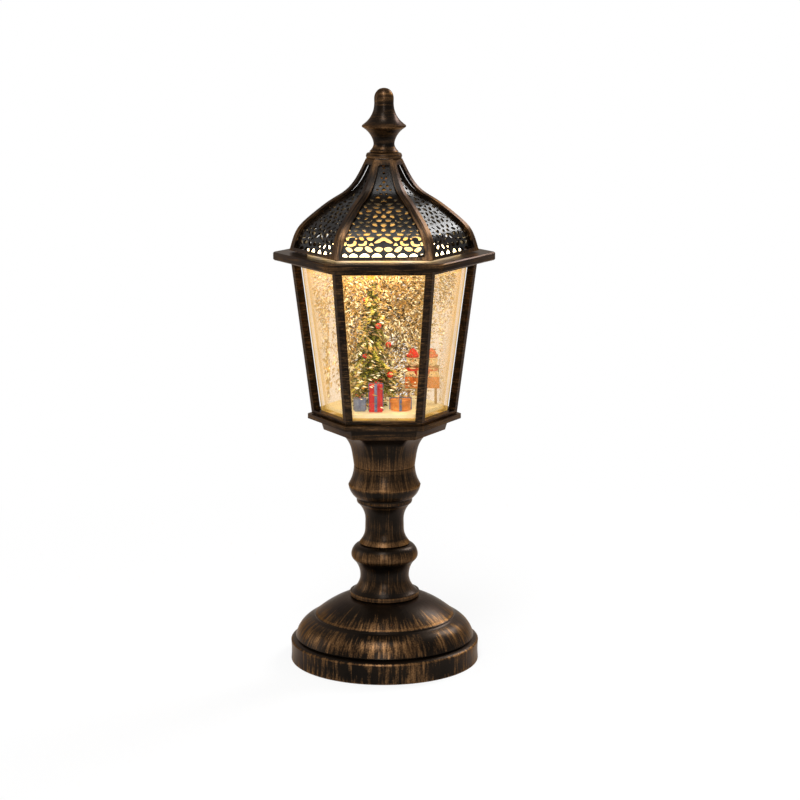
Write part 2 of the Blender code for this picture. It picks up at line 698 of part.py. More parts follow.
def lead_post_radius(height):
    """Where the lead climbs, in the groove of a rear post."""
    return inner_radius(height, POST_DEPTH) + LEAD_RADIUS


def window_frame():
    """Six posts and two rails: a hexagonal tapering wall with its six lights cut out."""
    foot = SILL_TOP
    top = FRAME_TOP - CLEARANCE
    rings = [hexagon(frame_radius(height), height) for height in (foot, top)]
    rings += [hexagon(inner_radius(height, POST_DEPTH), height) for height in (top, foot)]
    frame = lofted("window_frame", rings, bronze(), ring=True, smooth_angle=0.4)
    low = foot + LOW_RAIL
    high = top - TOP_RAIL
    bm = bmesh.new()
    for side in range(SIDES):
        corners = []
        for height in (low, high):
            radius = frame_radius(height)
            half = radius / 2 - POST_FACE
            inner = radius * APOTHEM - POST_DEPTH - CLEARANCE
            outer = radius * APOTHEM + OVERRUN
            corners += [Vector((-half, -outer, height)), Vector((half, -outer, height)),
                        Vector((half, -inner, height)), Vector((-half, -inner, height))]
        turn = Matrix.Rotation(2 * math.pi * side / SIDES, 4, "Z")
        verts = [bm.verts.new(turn @ corner) for corner in corners]
        for k in range(4):
            bm.faces.new((verts[k], verts[(k + 1) % 4], verts[4 + (k + 1) % 4], verts[4 + k]))
        bm.faces.new(verts[3::-1])
        bm.faces.new(verts[4:])
    combine(frame, cutter(bm, "lights"), "DIFFERENCE")
    groove = bmesh.new()
    ends = [polar(lead_post_radius(height), LEAD_ANGLE, height)
            for height in (foot - OVERRUN, top + OVERRUN)]
    rod(groove, LEAD_SLOT / 2, *ends, count=SIDES)
    return combine(frame, cutter(groove, "lead_groove"), "DIFFERENCE")


def roof_plate():
    """Wide hexagonal eave with an opening for the light and a slot for the lead."""
    opening = PLATE_OPENING_RADIUS
    rings = [
        hexagon(PLATE_RADIUS, FRAME_TOP, PLATE_CORNER),
        hexagon(PLATE_RADIUS, PLATE_TOP - CLEARANCE, PLATE_CORNER),
        hexagon(opening, PLATE_TOP - CLEARANCE), hexagon(opening, FRAME_TOP),
    ]
    plate = lofted("roof_plate", rings, bronze(), ring=True, smooth_angle=0.4)
    bevel = plate.modifiers.new("edges", "BEVEL")
    bevel.width = PLATE_EDGE
    bevel.segments = 1
    bevel.limit_method = "ANGLE"
    bm = bmesh.new()
    far = lead_post_radius(FRAME_TOP) + LEAD_SLOT / 2
    box(bm, (opening * APOTHEM - OVERRUN, -LEAD_SLOT / 2, FRAME_TOP - OVERRUN),
        (far, LEAD_SLOT / 2, PLATE_TOP + OVERRUN))
    bm.transform(Matrix.Rotation(LEAD_ANGLE, 4, "Z"))
    return combine(plate, cutter(bm, "plate_lead_slot"), "DIFFERENCE")


def dome_outline():
    """The ogee at a rib's corner, from the plate to the collar."""
    sweep_height = PLATE_TOP + DOME_SWEEP_HEIGHT
    pulls = [[share * DOME_HEIGHT for share in pull] for pull in
             (BELLY_FOOT_PULL_SHARE, BELLY_TOP_PULL_SHARE, NECK_FOOT_PULL_SHARE, NECK_TOP_PULL_SHARE)]
    outline = Outline(DOME_FOOT_RADIUS, PLATE_TOP)
    outline.curve(pulls[0], pulls[1], DOME_SWEEP_RADIUS, sweep_height, DOME_LEVELS // 2)
    outline.curve(pulls[2], pulls[3], DOME_TOP_RADIUS, DOME_TOP - CLEARANCE, DOME_LEVELS // 2)
    return outline.points


def dome_run():
    """The ogee's points with the run along it to each, and its whole length."""
    points = dome_outline()
    runs = [0.0]
    for (radius, height), (next_radius, next_height) in zip(points, points[1:]):
        runs.append(runs[-1] + math.hypot(next_radius - radius, next_height - height))
    return points, runs


def face_point(run, across, depth):
    """A point of the face that looks along -Y: run up the ogee, across from its middle, depth inward."""
    points, runs = dome_run()
    run = min(max(run, 0.0), runs[-1])
    k = max(index for index in range(len(runs) - 1) if runs[index] <= run)
    share = (run - runs[k]) / (runs[k + 1] - runs[k])
    radius = points[k][0] + (points[k + 1][0] - points[k][0]) * share
    height = points[k][1] + (points[k + 1][1] - points[k][1]) * share
    out = Vector((points[k + 1][1] - points[k][1], (points[k][0] - points[k + 1][0]) * APOTHEM))
    out.normalize()
    reach = radius * APOTHEM - out.x * depth
    half = reach * math.tan(math.pi / SIDES)
    return Vector((across * half, -reach, height - out.y * depth)), half


def dome_frame():
    """Six ogee ribs between a foot rail and a top rail, as one folded sheet with open faces."""
    points, runs = dome_run()
    top_rail = runs[-1] - DOME_TOP_RAIL
    seat = RIB_THICKNESS * RIB_SEAT_SHARE
    levels = [seat, DOME_FOOT_RAIL, top_rail]
    levels = sorted(levels + [run for run in runs[1:] if abs(run - top_rail) > OVERRUN])
    bm = bmesh.new()
    grid = []
    for run in levels:
        row = []
        share = run / runs[-1]
        width = RIB_FOOT_WIDTH + (RIB_TOP_WIDTH - RIB_FOOT_WIDTH) * share
        for side in range(SIDES):
            turn = Matrix.Rotation(2 * math.pi * side / SIDES, 4, "Z")
            half = face_point(run, 0, 0)[1]
            edge = 1 - width / half
            for across in (-1, -edge, edge):
                row.append(bm.verts.new(turn @ face_point(run, across, 0)[0]))
        grid.append(row)
    count = 3 * SIDES
    for level, (low, high) in enumerate(zip(grid, grid[1:])):
        railed = levels[level + 1] <= DOME_FOOT_RAIL or levels[level] >= top_rail
        for k in range(count):
            if railed or k % 3 != 1:
                bm.faces.new((low[k], low[(k + 1) % count], high[(k + 1) % count], high[k]))
    frame = place(bm, "dome_frame", worn_bronze(), smooth_angle=0.5)
    thick = frame.modifiers.new("thickness", "SOLIDIFY")
    thick.thickness = RIB_THICKNESS
    thick.offset = -1
    thick.use_even_offset = True
    return frame


def motif(kind, middle, width, height, tilt):
    """The outline of one piercing, drawn in a unit square that width and height scale."""
    points = []
    cosine = math.cos(tilt)
    sine = math.sin(tilt)
    for across_share, up_share in MOTIF_SHARES[kind]:
        x = across_share * width / 2
        y = up_share * height / 2
        points.append((middle[0] + x * cosine - y * sine, middle[1] + x * sine + y * cosine))
    return points


MOTIF_SHARES = {
    "wedge": [(-1, -1), (1, -1), (0.4, 1), (-0.7, 1)],
    "leaf": [(-1, 0), (-0.1, -0.9), (1, 0), (0.4, 0.9), (-0.5, 0.8)],
    "petal": [(0, -1), (0.85, 0.2), (0, 1), (-0.85, 0.2)],
    "chevron": [(-1, -1), (-0.45, -1), (0, -0.2), (0.45, -1), (1, -1), (0, 1)],
    "triangle": [(-1, 1), (0, -1), (1, 1)],
    "crescent": [(-1, 0.8), (-0.6, -0.7), (1, -0.6), (0.1, 0.0)],
    "diamond": [(0, -1), (0.8, 0), (0, 1), (-0.8, 0)],
}

# One half of the panel: kind, run share, across share, width share, height share, tilt in degrees
PIERCING_SHARES = [
    ("wedge", 0.050, 0.20, 0.26, 0.040, 0),
    ("wedge", 0.050, 0.52, 0.24, 0.040, 0),
    ("wedge", 0.050, 0.80, 0.18, 0.040, 0),
    ("leaf", 0.108, 0.14, 0.22, 0.044, -8),
    ("leaf", 0.108, 0.42, 0.22, 0.044, 12),
    ("crescent", 0.112, 0.70, 0.24, 0.050, 0),
    ("chevron", 0.185, 0.00, 0.40, 0.062, 0),
    ("crescent", 0.178, 0.66, 0.26, 0.056, 8),
    ("leaf", 0.255, 0.17, 0.20, 0.046, 30),
    ("leaf", 0.262, 0.48, 0.22, 0.050, -30),
    ("petal", 0.322, 0.00, 0.18, 0.052, 0),
    ("petal", 0.335, 0.32, 0.16, 0.056, -25),
    ("crescent", 0.345, 0.64, 0.22, 0.050, 20),
    ("diamond", 0.395, 0.16, 0.20, 0.056, 0),
    ("petal", 0.452, 0.00, 0.20, 0.050, 180),
    ("leaf", 0.472, 0.36, 0.24, 0.044, 30),
    ("leaf", 0.540, 0.24, 0.34, 0.044, 0),
    ("chevron", 0.640, 0.00, 0.48, 0.040, 0),
    ("triangle", 0.695, 0.32, 0.34, 0.036, 0),
    ("diamond", 0.760, 0.00, 0.34, 0.040, 0),
    ("diamond", 0.830, 0.00, 0.34, 0.034, 0),
]


def panel_mesh():
    """The pierced sheet behind one face of the ogee, filled between its outline and its holes."""
    runs = dome_run()[1]
    whole = runs[-1]
    depth = RIB_THICKNESS + CLEARANCE
    low = CLEARANCE + RIB_THICKNESS
    levels = [low] + [run for run in runs[1:-1]] + [whole - CLEARANCE]

    def half_at(run):
        return face_point(run, 0, depth + PANEL_THICKNESS)[1] - 2 * CLEARANCE

    loops = [[(-half_at(run), run) for run in reversed(levels)] + [(half_at(run), run) for run in levels]]
    for kind, run_share, across_share, width_share, height_share, tilt in PIERCING_SHARES:
        run = run_share * whole
        half = half_at(run)
        for side in ((-1, 1) if across_share else (1,)):
            outline = motif(kind, (across_share * half, run), width_share * half,
                            height_share * whole, math.radians(tilt))
            loops.append([(side * x, y) for x, y in outline])
    bm = bmesh.new()
    edges = []
    for loop in loops:
        verts = [bm.verts.new((x, y, 0)) for x, y in loop]
        edges += [bm.edges.new(pair) for pair in zip(verts, verts[1:] + verts[:1])]
    bmesh.ops.triangle_fill(bm, use_beauty=True, edges=edges)
    for vert in bm.verts:
        x, run, _ = vert.co
        half = face_point(run, 0, depth)[1]
        vert.co = face_point(run, x / half, depth)[0]
    bmesh.ops.recalc_face_normals(bm, faces=bm.faces[:])
    if sum(face.normal.y * face.calc_area() for face in bm.faces) > 0:
        bmesh.ops.reverse_faces(bm, faces=bm.faces[:])
    bmesh.ops.solidify(bm, geom=bm.faces[:], thickness=PANEL_THICKNESS)
    return bm


def filigree_panels():
    """Six like panels, each turned to its own face."""
    first = place(panel_mesh(), "filigree_panel_1", bronze())
    panels = [first]
    for side in range(1, SIDES):
        panel = bpy.data.objects.new(f"filigree_panel_{side + 1}", first.data)
        panel.rotation_euler.z = 2 * math.pi * side / SIDES
        bpy.context.scene.collection.objects.link(panel)
        panels.append(panel)
    return panels


def crown_collar():
    """Rounded ring that closes the top of the dome round the finial's stud."""
    bore = STUD_RADIUS + CLEARANCE
    outline = Outline(DOME_TOP_RADIUS, DOME_TOP)
    outline.arc(FINIAL_FOOT_RADIUS, COLLAR_TOP - CLEARANCE, COLLAR_BULGE_SHARE, 3)
    outline.line(bore, COLLAR_TOP - CLEARANCE)
    outline.line(bore, DOME_TOP)
    return turned("crown_collar", outline, MEDIUM_STEPS, bronze(), ring=True)


def finial():
    """Turned spire with a cup, a knop and a ball, on a stud that passes through the collar."""
    foot = COLLAR_TOP
    ball = foot + FINIAL_BALL_HEIGHT
    outline = Outline(0, DOME_TOP - STUD_LENGTH)
    outline.line(STUD_RADIUS, DOME_TOP - STUD_LENGTH)
    outline.line(STUD_RADIUS, foot)
    outline.line(FINIAL_FOOT_RADIUS - CLEARANCE, foot)
    outline.arc(FINIAL_NECK_RADIUS, foot + FINIAL_NECK_HEIGHT, FINIAL_NECK_BULGE_SHARE, 3)
    outline.arc(FINIAL_KNOP_RADIUS, foot + FINIAL_KNOP_HEIGHT, FINIAL_CUP_BULGE_SHARE, 4)
    outline.line(FINIAL_KNOP_RADIUS, foot + FINIAL_KNOP_HEIGHT + KNOP_EDGE)
    outline.arc(FINIAL_SPIRE_RADIUS, foot + FINIAL_SPIRE_HEIGHT, FINIAL_SPIRE_BULGE_SHARE, 4)
    outline.line(FINIAL_BALL_RADIUS, ball)
    outline.arc(0, foot + FINIAL_HEIGHT, FINIAL_BALL_BULGE_SHARE, 3)
    return turned("finial", outline, MEDIUM_STEPS, bronze())


def hex_nut(name, radius, bore, foot, height):
    """Six-sided nut or ring with a round bore."""
    rings = [hexagon(radius, foot, CUP_CORNER / 2), hexagon(radius, foot + height, CUP_CORNER / 2),
             round_ring(bore, foot + height), round_ring(bore, foot)]
    return lofted(name, rings, steel(), ring=True, smooth_angle=0.4)


def finial_nut():
    return hex_nut("finial_nut", NUT_RADIUS, STUD_RADIUS + CLEARANCE,
                   DOME_TOP - CLEARANCE - NUT_HEIGHT, NUT_HEIGHT)


def tie_tube():
    """Hollow rod that clamps the column pieces and carries the leads."""
    foot = BASE_TOP - BASE_WALL - TUBE_NUT_HEIGHT - TUBE_END
    head = SPOOL_TOP + BULB_FLOOR + TUBE_NUT_HEIGHT + TUBE_END
    outline = Outline(TUBE_RADIUS, foot).line(TUBE_RADIUS, head)
    outline.line(TUBE_RADIUS - TUBE_WALL, head).line(TUBE_RADIUS - TUBE_WALL, foot)
    return turned("tie_tube", outline, SMALL_STEPS, steel(), ring=True)


def tube_nuts():
    low = BASE_TOP - BASE_WALL - CLEARANCE - TUBE_NUT_HEIGHT
    high = SPOOL_TOP + BULB_FLOOR + CLEARANCE
    hex_nut("lower_tube_nut", TUBE_NUT_RADIUS, COLUMN_BORE, low, TUBE_NUT_HEIGHT)
    hex_nut("upper_tube_nut", TUBE_NUT_RADIUS, COLUMN_BORE, high, TUBE_NUT_HEIGHT)


def motor():
    """Can motor standing in the bulb, its boss through the motor plate."""
    top = MOTOR_TOP - 2 * CLEARANCE
    outline = Outline(0, MOTOR_FOOT).line(MOTOR_RADIUS, MOTOR_FOOT).line(MOTOR_RADIUS, top)
    outline.line(MOTOR_BOSS_RADIUS, top).line(MOTOR_BOSS_RADIUS, top + MOTOR_BOSS_HEIGHT)
    outline.line(0, top + MOTOR_BOSS_HEIGHT)
    return turned("motor", outline, SMALL_STEPS, steel())


def motor_plate():
    """Plate on the cup's shelf that the motor hangs from, with a hole for the lead."""
    outline = Outline(MOTOR_BOSS_RADIUS + CLEARANCE, MOTOR_TOP)
    outline.line(CUP_POCKET_RADIUS - CLEARANCE, MOTOR_TOP)
    outline.line(CUP_POCKET_RADIUS - CLEARANCE, MOTOR_TOP + MOTOR_PLATE_HEIGHT)
    outline.line(MOTOR_BOSS_RADIUS + CLEARANCE, MOTOR_TOP + MOTOR_PLATE_HEIGHT)
    plate = turned("motor_plate", outline, SMALL_STEPS, steel(), ring=True)
    bm = bmesh.new()
    place_at = polar(lead_pocket_radius(), LEAD_ANGLE, MOTOR_TOP)
    rod(bm, LEAD_SLOT / 2, place_at - Vector((0, 0, OVERRUN)),
        place_at + Vector((0, 0, MOTOR_PLATE_HEIGHT + OVERRUN)))
    return combine(plate, cutter(bm, "plate_lead_hole"), "DIFFERENCE")


def lead_pocket_radius():
    """Midway between the motor and the wall of its pocket."""
    return (MOTOR_RADIUS + MOTOR_POCKET_RADIUS) / 2


def drive_magnet():
    """Magnet disc on the motor's shaft, turning about the lantern's axis."""
    foot = MOTOR_TOP + MOTOR_BOSS_HEIGHT - CLEARANCE
    top = MAGNET_FOOT + DRIVE_MAGNET_HEIGHT
    outline = Outline(0, foot).line(MOTOR_SHAFT_RADIUS, foot).line(MOTOR_SHAFT_RADIUS, MAGNET_FOOT)
    outline.line(DRIVE_MAGNET_RADIUS, MAGNET_FOOT).line(DRIVE_MAGNET_RADIUS, top).line(0, top)
    return turned("drive_magnet", outline, SMALL_STEPS, material("ferrite", (0.05, 0.05, 0.055), 0.6, 0.2))


def tank():
    """Clear hexagonal tank with a round well under its floor and a pin for the impeller."""
    back = POST_DEPTH + CLEARANCE
    inside = WELL_RADIUS - WELL_WALL
    pin_top = WELL_FOOT + WELL_FLOOR + 2 * CLEARANCE + IMPELLER_HEIGHT

    def wall(height, depth, corner):
        return hexagon(inner_radius(height, depth), height, corner)

    inner_corner = TANK_CORNER - TANK_WALL
    rings = [
        round_ring(WELL_RADIUS, WELL_FOOT), round_ring(WELL_RADIUS, SILL_TOP),
        wall(SILL_TOP, back, TANK_CORNER), wall(TANK_TOP, back, TANK_CORNER),
        wall(TANK_TOP, back + TANK_WALL, inner_corner), wall(TANK_FLOOR, back + TANK_WALL, inner_corner),
        round_ring(inside, TANK_FLOOR), round_ring(inside, WELL_FOOT + WELL_FLOOR),
        round_ring(IMPELLER_PIN_RADIUS, WELL_FOOT + WELL_FLOOR), round_ring(IMPELLER_PIN_RADIUS, pin_top),
    ]
    return lofted("tank", rings, clear_plastic(), smooth_angle=0.4)


def impeller():
    """Magnet hub with upright blades that stir the glitter."""
    foot = WELL_FOOT + WELL_FLOOR + CLEARANCE
    top = foot + IMPELLER_HEIGHT
    bore = IMPELLER_PIN_RADIUS + CLEARANCE
    deck = foot + IMPELLER_MAGNET_HEIGHT
    outline = Outline(IMPELLER_RADIUS, foot).line(IMPELLER_RADIUS, deck)
    outline.line(IMPELLER_HUB_RADIUS, deck).line(IMPELLER_HUB_RADIUS, top)
    outline.line(bore, top).line(bore, foot)
    finish = material("impeller_white", (0.85, 0.86, 0.88), 0.4, 0.0)
    wheel = turned("impeller", outline, SMALL_STEPS, finish, ring=True)
    bm = bmesh.new()
    for blade in range(BLADE_COUNT):
        fin = bmesh.new()
        box(fin, (bore + CLEARANCE, -BLADE_THICKNESS / 2, deck - CLEARANCE),
            (IMPELLER_RADIUS - CLEARANCE, BLADE_THICKNESS / 2, top - CLEARANCE))
        fin.transform(Matrix.Rotation(2 * math.pi * blade / BLADE_COUNT, 4, "Z"))
        mesh = bpy.data.meshes.new("blade")
        fin.to_mesh(mesh)
        fin.free()
        bm.from_mesh(mesh)
    return combine(wheel, cutter(bm, "impeller_blades"), "UNION")


def tank_gasket():
    """Flat seal between the tank's rim and its lid."""
    foot = TANK_TOP + CLEARANCE
    back = POST_DEPTH + CLEARANCE
    top = foot + GASKET_HEIGHT
    inner = TANK_CORNER - TANK_WALL
    rings = [hexagon(inner_radius(TANK_TOP, back + depth), height, corner) for depth, height, corner in (
        (0, foot, TANK_CORNER), (0, top, TANK_CORNER), (TANK_WALL, top, inner), (TANK_WALL, foot, inner))]
    return lofted("tank_gasket", rings, material("silicone", (0.75, 0.75, 0.72), 0.6, 0.0), ring=True)


def tank_lid():
    """Clear lid with a skirt inside the tank's rim and a filling hole."""
    back = POST_DEPTH + CLEARANCE
    skirt = back + TANK_WALL + CLEARANCE
    foot = LID_FOOT - GASKET_HEIGHT - LID_SKIRT
    hole = PLUG_RADIUS + CLEARANCE
    corner = TANK_CORNER - TANK_WALL
    top = FRAME_TOP - CLEARANCE
    rim = inner_radius(LID_FOOT, back)
    rings = [
        hexagon(rim, LID_FOOT, TANK_CORNER), hexagon(rim, top, TANK_CORNER),
        round_ring(hole, top), round_ring(hole, LID_FOOT),
        hexagon(inner_radius(foot, skirt + LID_SKIRT_WALL), LID_FOOT, corner),
        hexagon(inner_radius(foot, skirt + LID_SKIRT_WALL), foot, corner),
        hexagon(inner_radius(foot, skirt), foot, corner),
        hexagon(inner_radius(foot, skirt), LID_FOOT, corner),
    ]
    return lofted("tank_lid", rings, clear_plastic(), ring=True, smooth_angle=0.4)


def filler_plug():
    """Rubber plug in the lid's filling hole."""
    top = FRAME_TOP - CLEARANCE
    foot = LID_FOOT - LID_HEIGHT
    outline = Outline(0, foot).line(PLUG_RADIUS - CLEARANCE, foot).line(PLUG_RADIUS, LID_FOOT)
    outline.line(PLUG_RADIUS, top + CLEARANCE).line(PLUG_HEAD_RADIUS, top + CLEARANCE)
    outline.line(PLUG_HEAD_RADIUS, top + PLUG_HEAD_HEIGHT).line(0, top + PLUG_HEAD_HEIGHT + CLEARANCE)
    return turned("filler_plug", outline, SMALL_STEPS, material("rubber", (0.06, 0.06, 0.06), 0.8, 0.0))


def diffuser():
    """Frosted plate over the roof plate's opening, with three pegs for the lamp board."""
    foot = PLATE_TOP
    top = foot + DIFFUSER_HEIGHT
    rings = [hexagon(DIFFUSER_RADIUS, foot, TANK_CORNER), hexagon(DIFFUSER_RADIUS, top, TANK_CORNER)]
    plate = lofted("diffuser", rings, material("frosted", (1.0, 0.93, 0.78), 0.5, 0.0, glow=1.0))
    bm = bmesh.new()
    for k in range(PEG_COUNT):
        place_at = polar(PEG_CIRCLE_RADIUS, 2 * math.pi * k / PEG_COUNT, 0)
        rod(bm, PEG_RADIUS, place_at + Vector((0, 0, top - CLEARANCE)),
            place_at + Vector((0, 0, BOARD_FOOT - CLEARANCE)), TINY_STEPS)
    return combine(plate, cutter(bm, "diffuser_pegs"), "UNION")


def led_board():
    """Round board on the diffuser's pegs."""
    outline = Outline(0, BOARD_FOOT).line(BOARD_RADIUS, BOARD_FOOT)
    outline.line(BOARD_RADIUS, BOARD_FOOT + BOARD_HEIGHT).line(0, BOARD_FOOT + BOARD_HEIGHT)
    return turned("led_board", outline, MEDIUM_STEPS, material("board_white", (0.8, 0.8, 0.78), 0.5, 0.0))


def led():
    """Warm lamp under the board, shining down into the tank."""
    top = BOARD_FOOT - CLEARANCE
    outline = Outline(0, top - LED_HEIGHT)
    outline.arc(LED_RADIUS, top - LED_HEIGHT / 3, -LED_BULGE_SHARE, 4).line(LED_RADIUS, top).line(0, top)
    return turned("led", outline, SMALL_STEPS, material("warm_led", (1.0, 0.82, 0.5), 0.3, 0.0, glow=6.0))


def snow_ground():
    """Snow sheet on the tank's floor, drifted at its edge and slotted over the well."""
    back = POST_DEPTH + TANK_WALL + 2 * CLEARANCE
    foot = TANK_FLOOR + CLEARANCE
    corner = TANK_CORNER - TANK_WALL
    reach = inner_radius(foot, back)
    rings = [hexagon(reach, foot, corner), hexagon(reach, SNOW_TOP + DRIFT_HEIGHT / 2, corner)]
    for share in SNOW_RING_SHARES:
        ring = blended_ring(reach * share, SNOW_TOP, share)
        if share > SNOW_RING_SHARES[-1]:
            for k, point in enumerate(ring):
                point.z += DRIFT_HEIGHT * share * (1 + math.sin(DRIFT_TURN * k + DRIFT_SHIFT * share)) / 2
        rings.append(ring)
    snow = lofted("snow_ground", rings, material("snow", (0.95, 0.93, 0.86), 0.7, 0.0, glow=0.3))
    bm = bmesh.new()
    for k in range(SLOT_COUNT):
        slot = bmesh.new()
        box(slot, (SLOT_INNER, -SLOT_WIDTH / 2, foot - OVERRUN),
            (SLOT_OUTER, SLOT_WIDTH / 2, SNOW_TOP + 2 * OVERRUN))
        slot.transform(Matrix.Rotation(SLOT_START + SLOT_STEP * k, 4, "Z"))
        mesh = bpy.data.meshes.new("slot")
        slot.to_mesh(mesh)
        slot.free()
        bm.from_mesh(mesh)
    return combine(snow, cutter(bm, "snow_slots"), "DIFFERENCE")


def tree():
    """Fir tree of stacked, notched skirts on a short trunk."""
    foot = SNOW_TOP + CLEARANCE
    skirts = foot + TRUNK_HEIGHT
    tier = (TREE_HEIGHT - TRUNK_HEIGHT) / TREE_TIERS
    count = 2 * TREE_POINTS
    middle = Vector((TREE_X, TREE_Y, 0))

    def notched(radius, height, notch_share):
        ring = circle(radius, height, count)
        for k in range(1, count, 2):
            inward = ring[k] - Vector((0, 0, height))
            ring[k] = ring[k] - inward * notch_share
        return [point + middle for point in ring]

    rings = [notched(TRUNK_RADIUS, foot, 0), notched(TRUNK_RADIUS, skirts + tier * SKIRT_LIFT_SHARE, 0)]
    for k in range(TREE_TIERS):
        radius = TREE_RADIUS * (1 - k / TREE_TIERS) ** TREE_TAPER_POWER_SHARE
        rings.append(notched(radius, skirts + k * tier, SKIRT_NOTCH_SHARE))
        tip = radius * SKIRT_TOP_SHARE
        rings.append(notched(tip, skirts + (k + 1) * tier + tier * SKIRT_LIFT_SHARE, 0))
    rings[-1] = notched(TRUNK_RADIUS / 2, foot + TREE_HEIGHT, 0)
    return lofted("tree", rings, material("fir_green", (0.30, 0.36, 0.10), 0.7, 0.0), smooth_angle=0.5)


def tree_star():
    """Five-pointed star facing the front pane."""
    middle = SNOW_TOP + 2 * CLEARANCE + TREE_HEIGHT + STAR_RADIUS * math.cos(math.pi / STAR_POINTS)
    bm = bmesh.new()
    points = []
    count = 2 * STAR_POINTS
    for k in range(count):
        reach = STAR_RADIUS * (1 if k % 2 == 0 else STAR_WAIST_SHARE)
        angle = math.pi / 2 + 2 * math.pi * k / count
        points.append(bm.verts.new((TREE_X + reach * math.cos(angle), TREE_Y,
                                    middle + reach * math.sin(angle))))
    peaks = [bm.verts.new((TREE_X, TREE_Y + side * STAR_THICKNESS / 2, middle)) for side in (-1, 1)]
    for k in range(count):
        for peak in peaks:
            bm.faces.new((points[k], points[(k + 1) % count], peak))
    return place(bm, "tree_star", material("gold_star", (1.0, 0.55, 0.10), 0.4, 0.3))


def gift(name, size, x, y, finish):
    """Wrapped box with a raised ribbon across it."""
    width, depth, height = size
    foot = SNOW_TOP + DRIFT_HEIGHT / 2 + CLEARANCE
    bm = bmesh.new()
    box(bm, (x - width / 2, y - depth / 2, foot), (x + width / 2, y + depth / 2, foot + height))
    parcel = place(bm, name, finish)
    ribbon = bmesh.new()
    half = width * RIBBON_SHARE / 2
    lift = CLEARANCE
    reach = depth / 2 + lift
    box(ribbon, (x - half, y - reach, foot + lift), (x + half, y + reach, foot + height + lift))
    combine(parcel, cutter(ribbon, f"{name}_ribbon"), "UNION")
    bow = bmesh.new()
    knot = foot + height + RIBBON / 2
    rod(bow, RIBBON, (x - 2 * RIBBON, y, knot), (x + 2 * RIBBON, y, knot), TINY_STEPS)
    return combine(parcel, cutter(bow, f"{name}_bow"), "UNION")


def gifts():
    red = material("gift_red", (0.75, 0.06, 0.03), 0.4, 0.0)
    blue = material("gift_blue", (0.35, 0.42, 0.55), 0.4, 0.0)
    gift("tall_gift", TALL_GIFT, TALL_GIFT_X, TALL_GIFT_Y, red)
    gift("small_gift", SMALL_GIFT, SMALL_GIFT_X, SMALL_GIFT_Y, blue)
    foot = SNOW_TOP + DRIFT_HEIGHT / 2 + CLEARANCE
    outline = Outline(0, foot).line(ROUND_GIFT_RADIUS, foot)
    outline.line(ROUND_GIFT_RADIUS, foot + ROUND_GIFT_HEIGHT * ROUND_GIFT_LID_SHARE)
    outline.line(ROUND_GIFT_RADIUS + CLEARANCE, foot + ROUND_GIFT_HEIGHT * ROUND_GIFT_LID_SHARE)
    outline.arc(0, foot + ROUND_GIFT_HEIGHT, LID_BULGE_SHARE, 3)
    parcel = turned("round_gift", outline, SMALL_STEPS, material("gift_orange", (0.85, 0.42, 0.16), 0.5, 0.0))
    parcel.location = (ROUND_GIFT_X, ROUND_GIFT_Y, 0)


def bench():
    """Seat, back and two slab legs, fused as one moulding."""
    foot = SNOW_TOP + DRIFT_HEIGHT + CLEARANCE
    seat = foot + SEAT_HEIGHT
    low_x = SEAT_X - SEAT_WIDTH / 2
    high_x = SEAT_X + SEAT_WIDTH / 2
    front = SEAT_Y - SEAT_DEPTH / 2
    back = SEAT_Y + SEAT_DEPTH / 2
    bm = bmesh.new()
    box(bm, (low_x, front, seat - SEAT_THICKNESS), (high_x, back, seat))
    bench_object = place(bm, "bench", material("bench_wood", (0.62, 0.45, 0.24), 0.7, 0.0))
    rest = bmesh.new()
    box(rest, (low_x, back - LEG_WIDTH, seat - CLEARANCE), (high_x, back, seat + BENCH_BACK_HEIGHT))
    combine(bench_object, cutter(rest, "bench_back"), "UNION")
    legs = bmesh.new()
    for x in (low_x + LEG_WIDTH, high_x - 2 * LEG_WIDTH):
        box(legs, (x, front + CLEARANCE, foot), (x + LEG_WIDTH, back - CLEARANCE, seat - SEAT_THICKNESS / 2))
    return combine(bench_object, cutter(legs, "bench_legs"), "UNION")


def snowmen():
    """Two seated snowmen in brimmed hats, each one turned moulding."""
    seat = SNOW_TOP + DRIFT_HEIGHT + 2 * CLEARANCE + SEAT_HEIGHT
    shoulder = seat + 2 * SNOWMAN_BODY_RADIUS * BODY_SQUAT_SHARE
    crown = shoulder + 2 * SNOWMAN_HEAD_RADIUS * BODY_SQUAT_SHARE
    brim = SNOWMAN_HEAD_RADIUS * HAT_BRIM_SHARE
    for side, name in ((-1, "left"), (1, "right")):
        outline = Outline(0, seat).line(SNOWMAN_BODY_RADIUS * SEAT_PRINT_SHARE, seat)
        outline.arc(SNOWMAN_HEAD_RADIUS * NECK_SHARE, shoulder, BALL_BULGE_SHARE, 3)
        outline.arc(brim * NECK_SHARE, crown, BALL_BULGE_SHARE, 3)
        outline.line(brim, crown).line(brim, crown + HAT_HEIGHT / 4)
        outline.arc(0, crown + HAT_HEIGHT, HAT_BULGE_SHARE, 3)
        cream = material("snowman", (0.95, 0.86, 0.62), 0.7, 0.0)
        body = turned(f"snowman_{name}", outline, SMALL_STEPS, cream)
        body.location = (SEAT_X + side * SNOWMAN_PITCH / 2, SEAT_Y - LEG_WIDTH, 0)


def lap_blanket():
    """Folded blanket standing on the seat's edge in front of both snowmen."""
    seat = SNOW_TOP + DRIFT_HEIGHT + 2 * CLEARANCE + SEAT_HEIGHT
    back = SEAT_Y - LEG_WIDTH - SNOWMAN_BODY_RADIUS - CLEARANCE
    front = back - BLANKET_THICKNESS
    half = SEAT_WIDTH / 2
    bm = bmesh.new()
    box(bm, (SEAT_X - half, front, seat - BLANKET_DROP), (SEAT_X + half, back, seat + BLANKET_RISE))
    return place(bm, "lap_blanket", material("blanket_orange", (0.90, 0.36, 0.08), 0.9, 0.0))


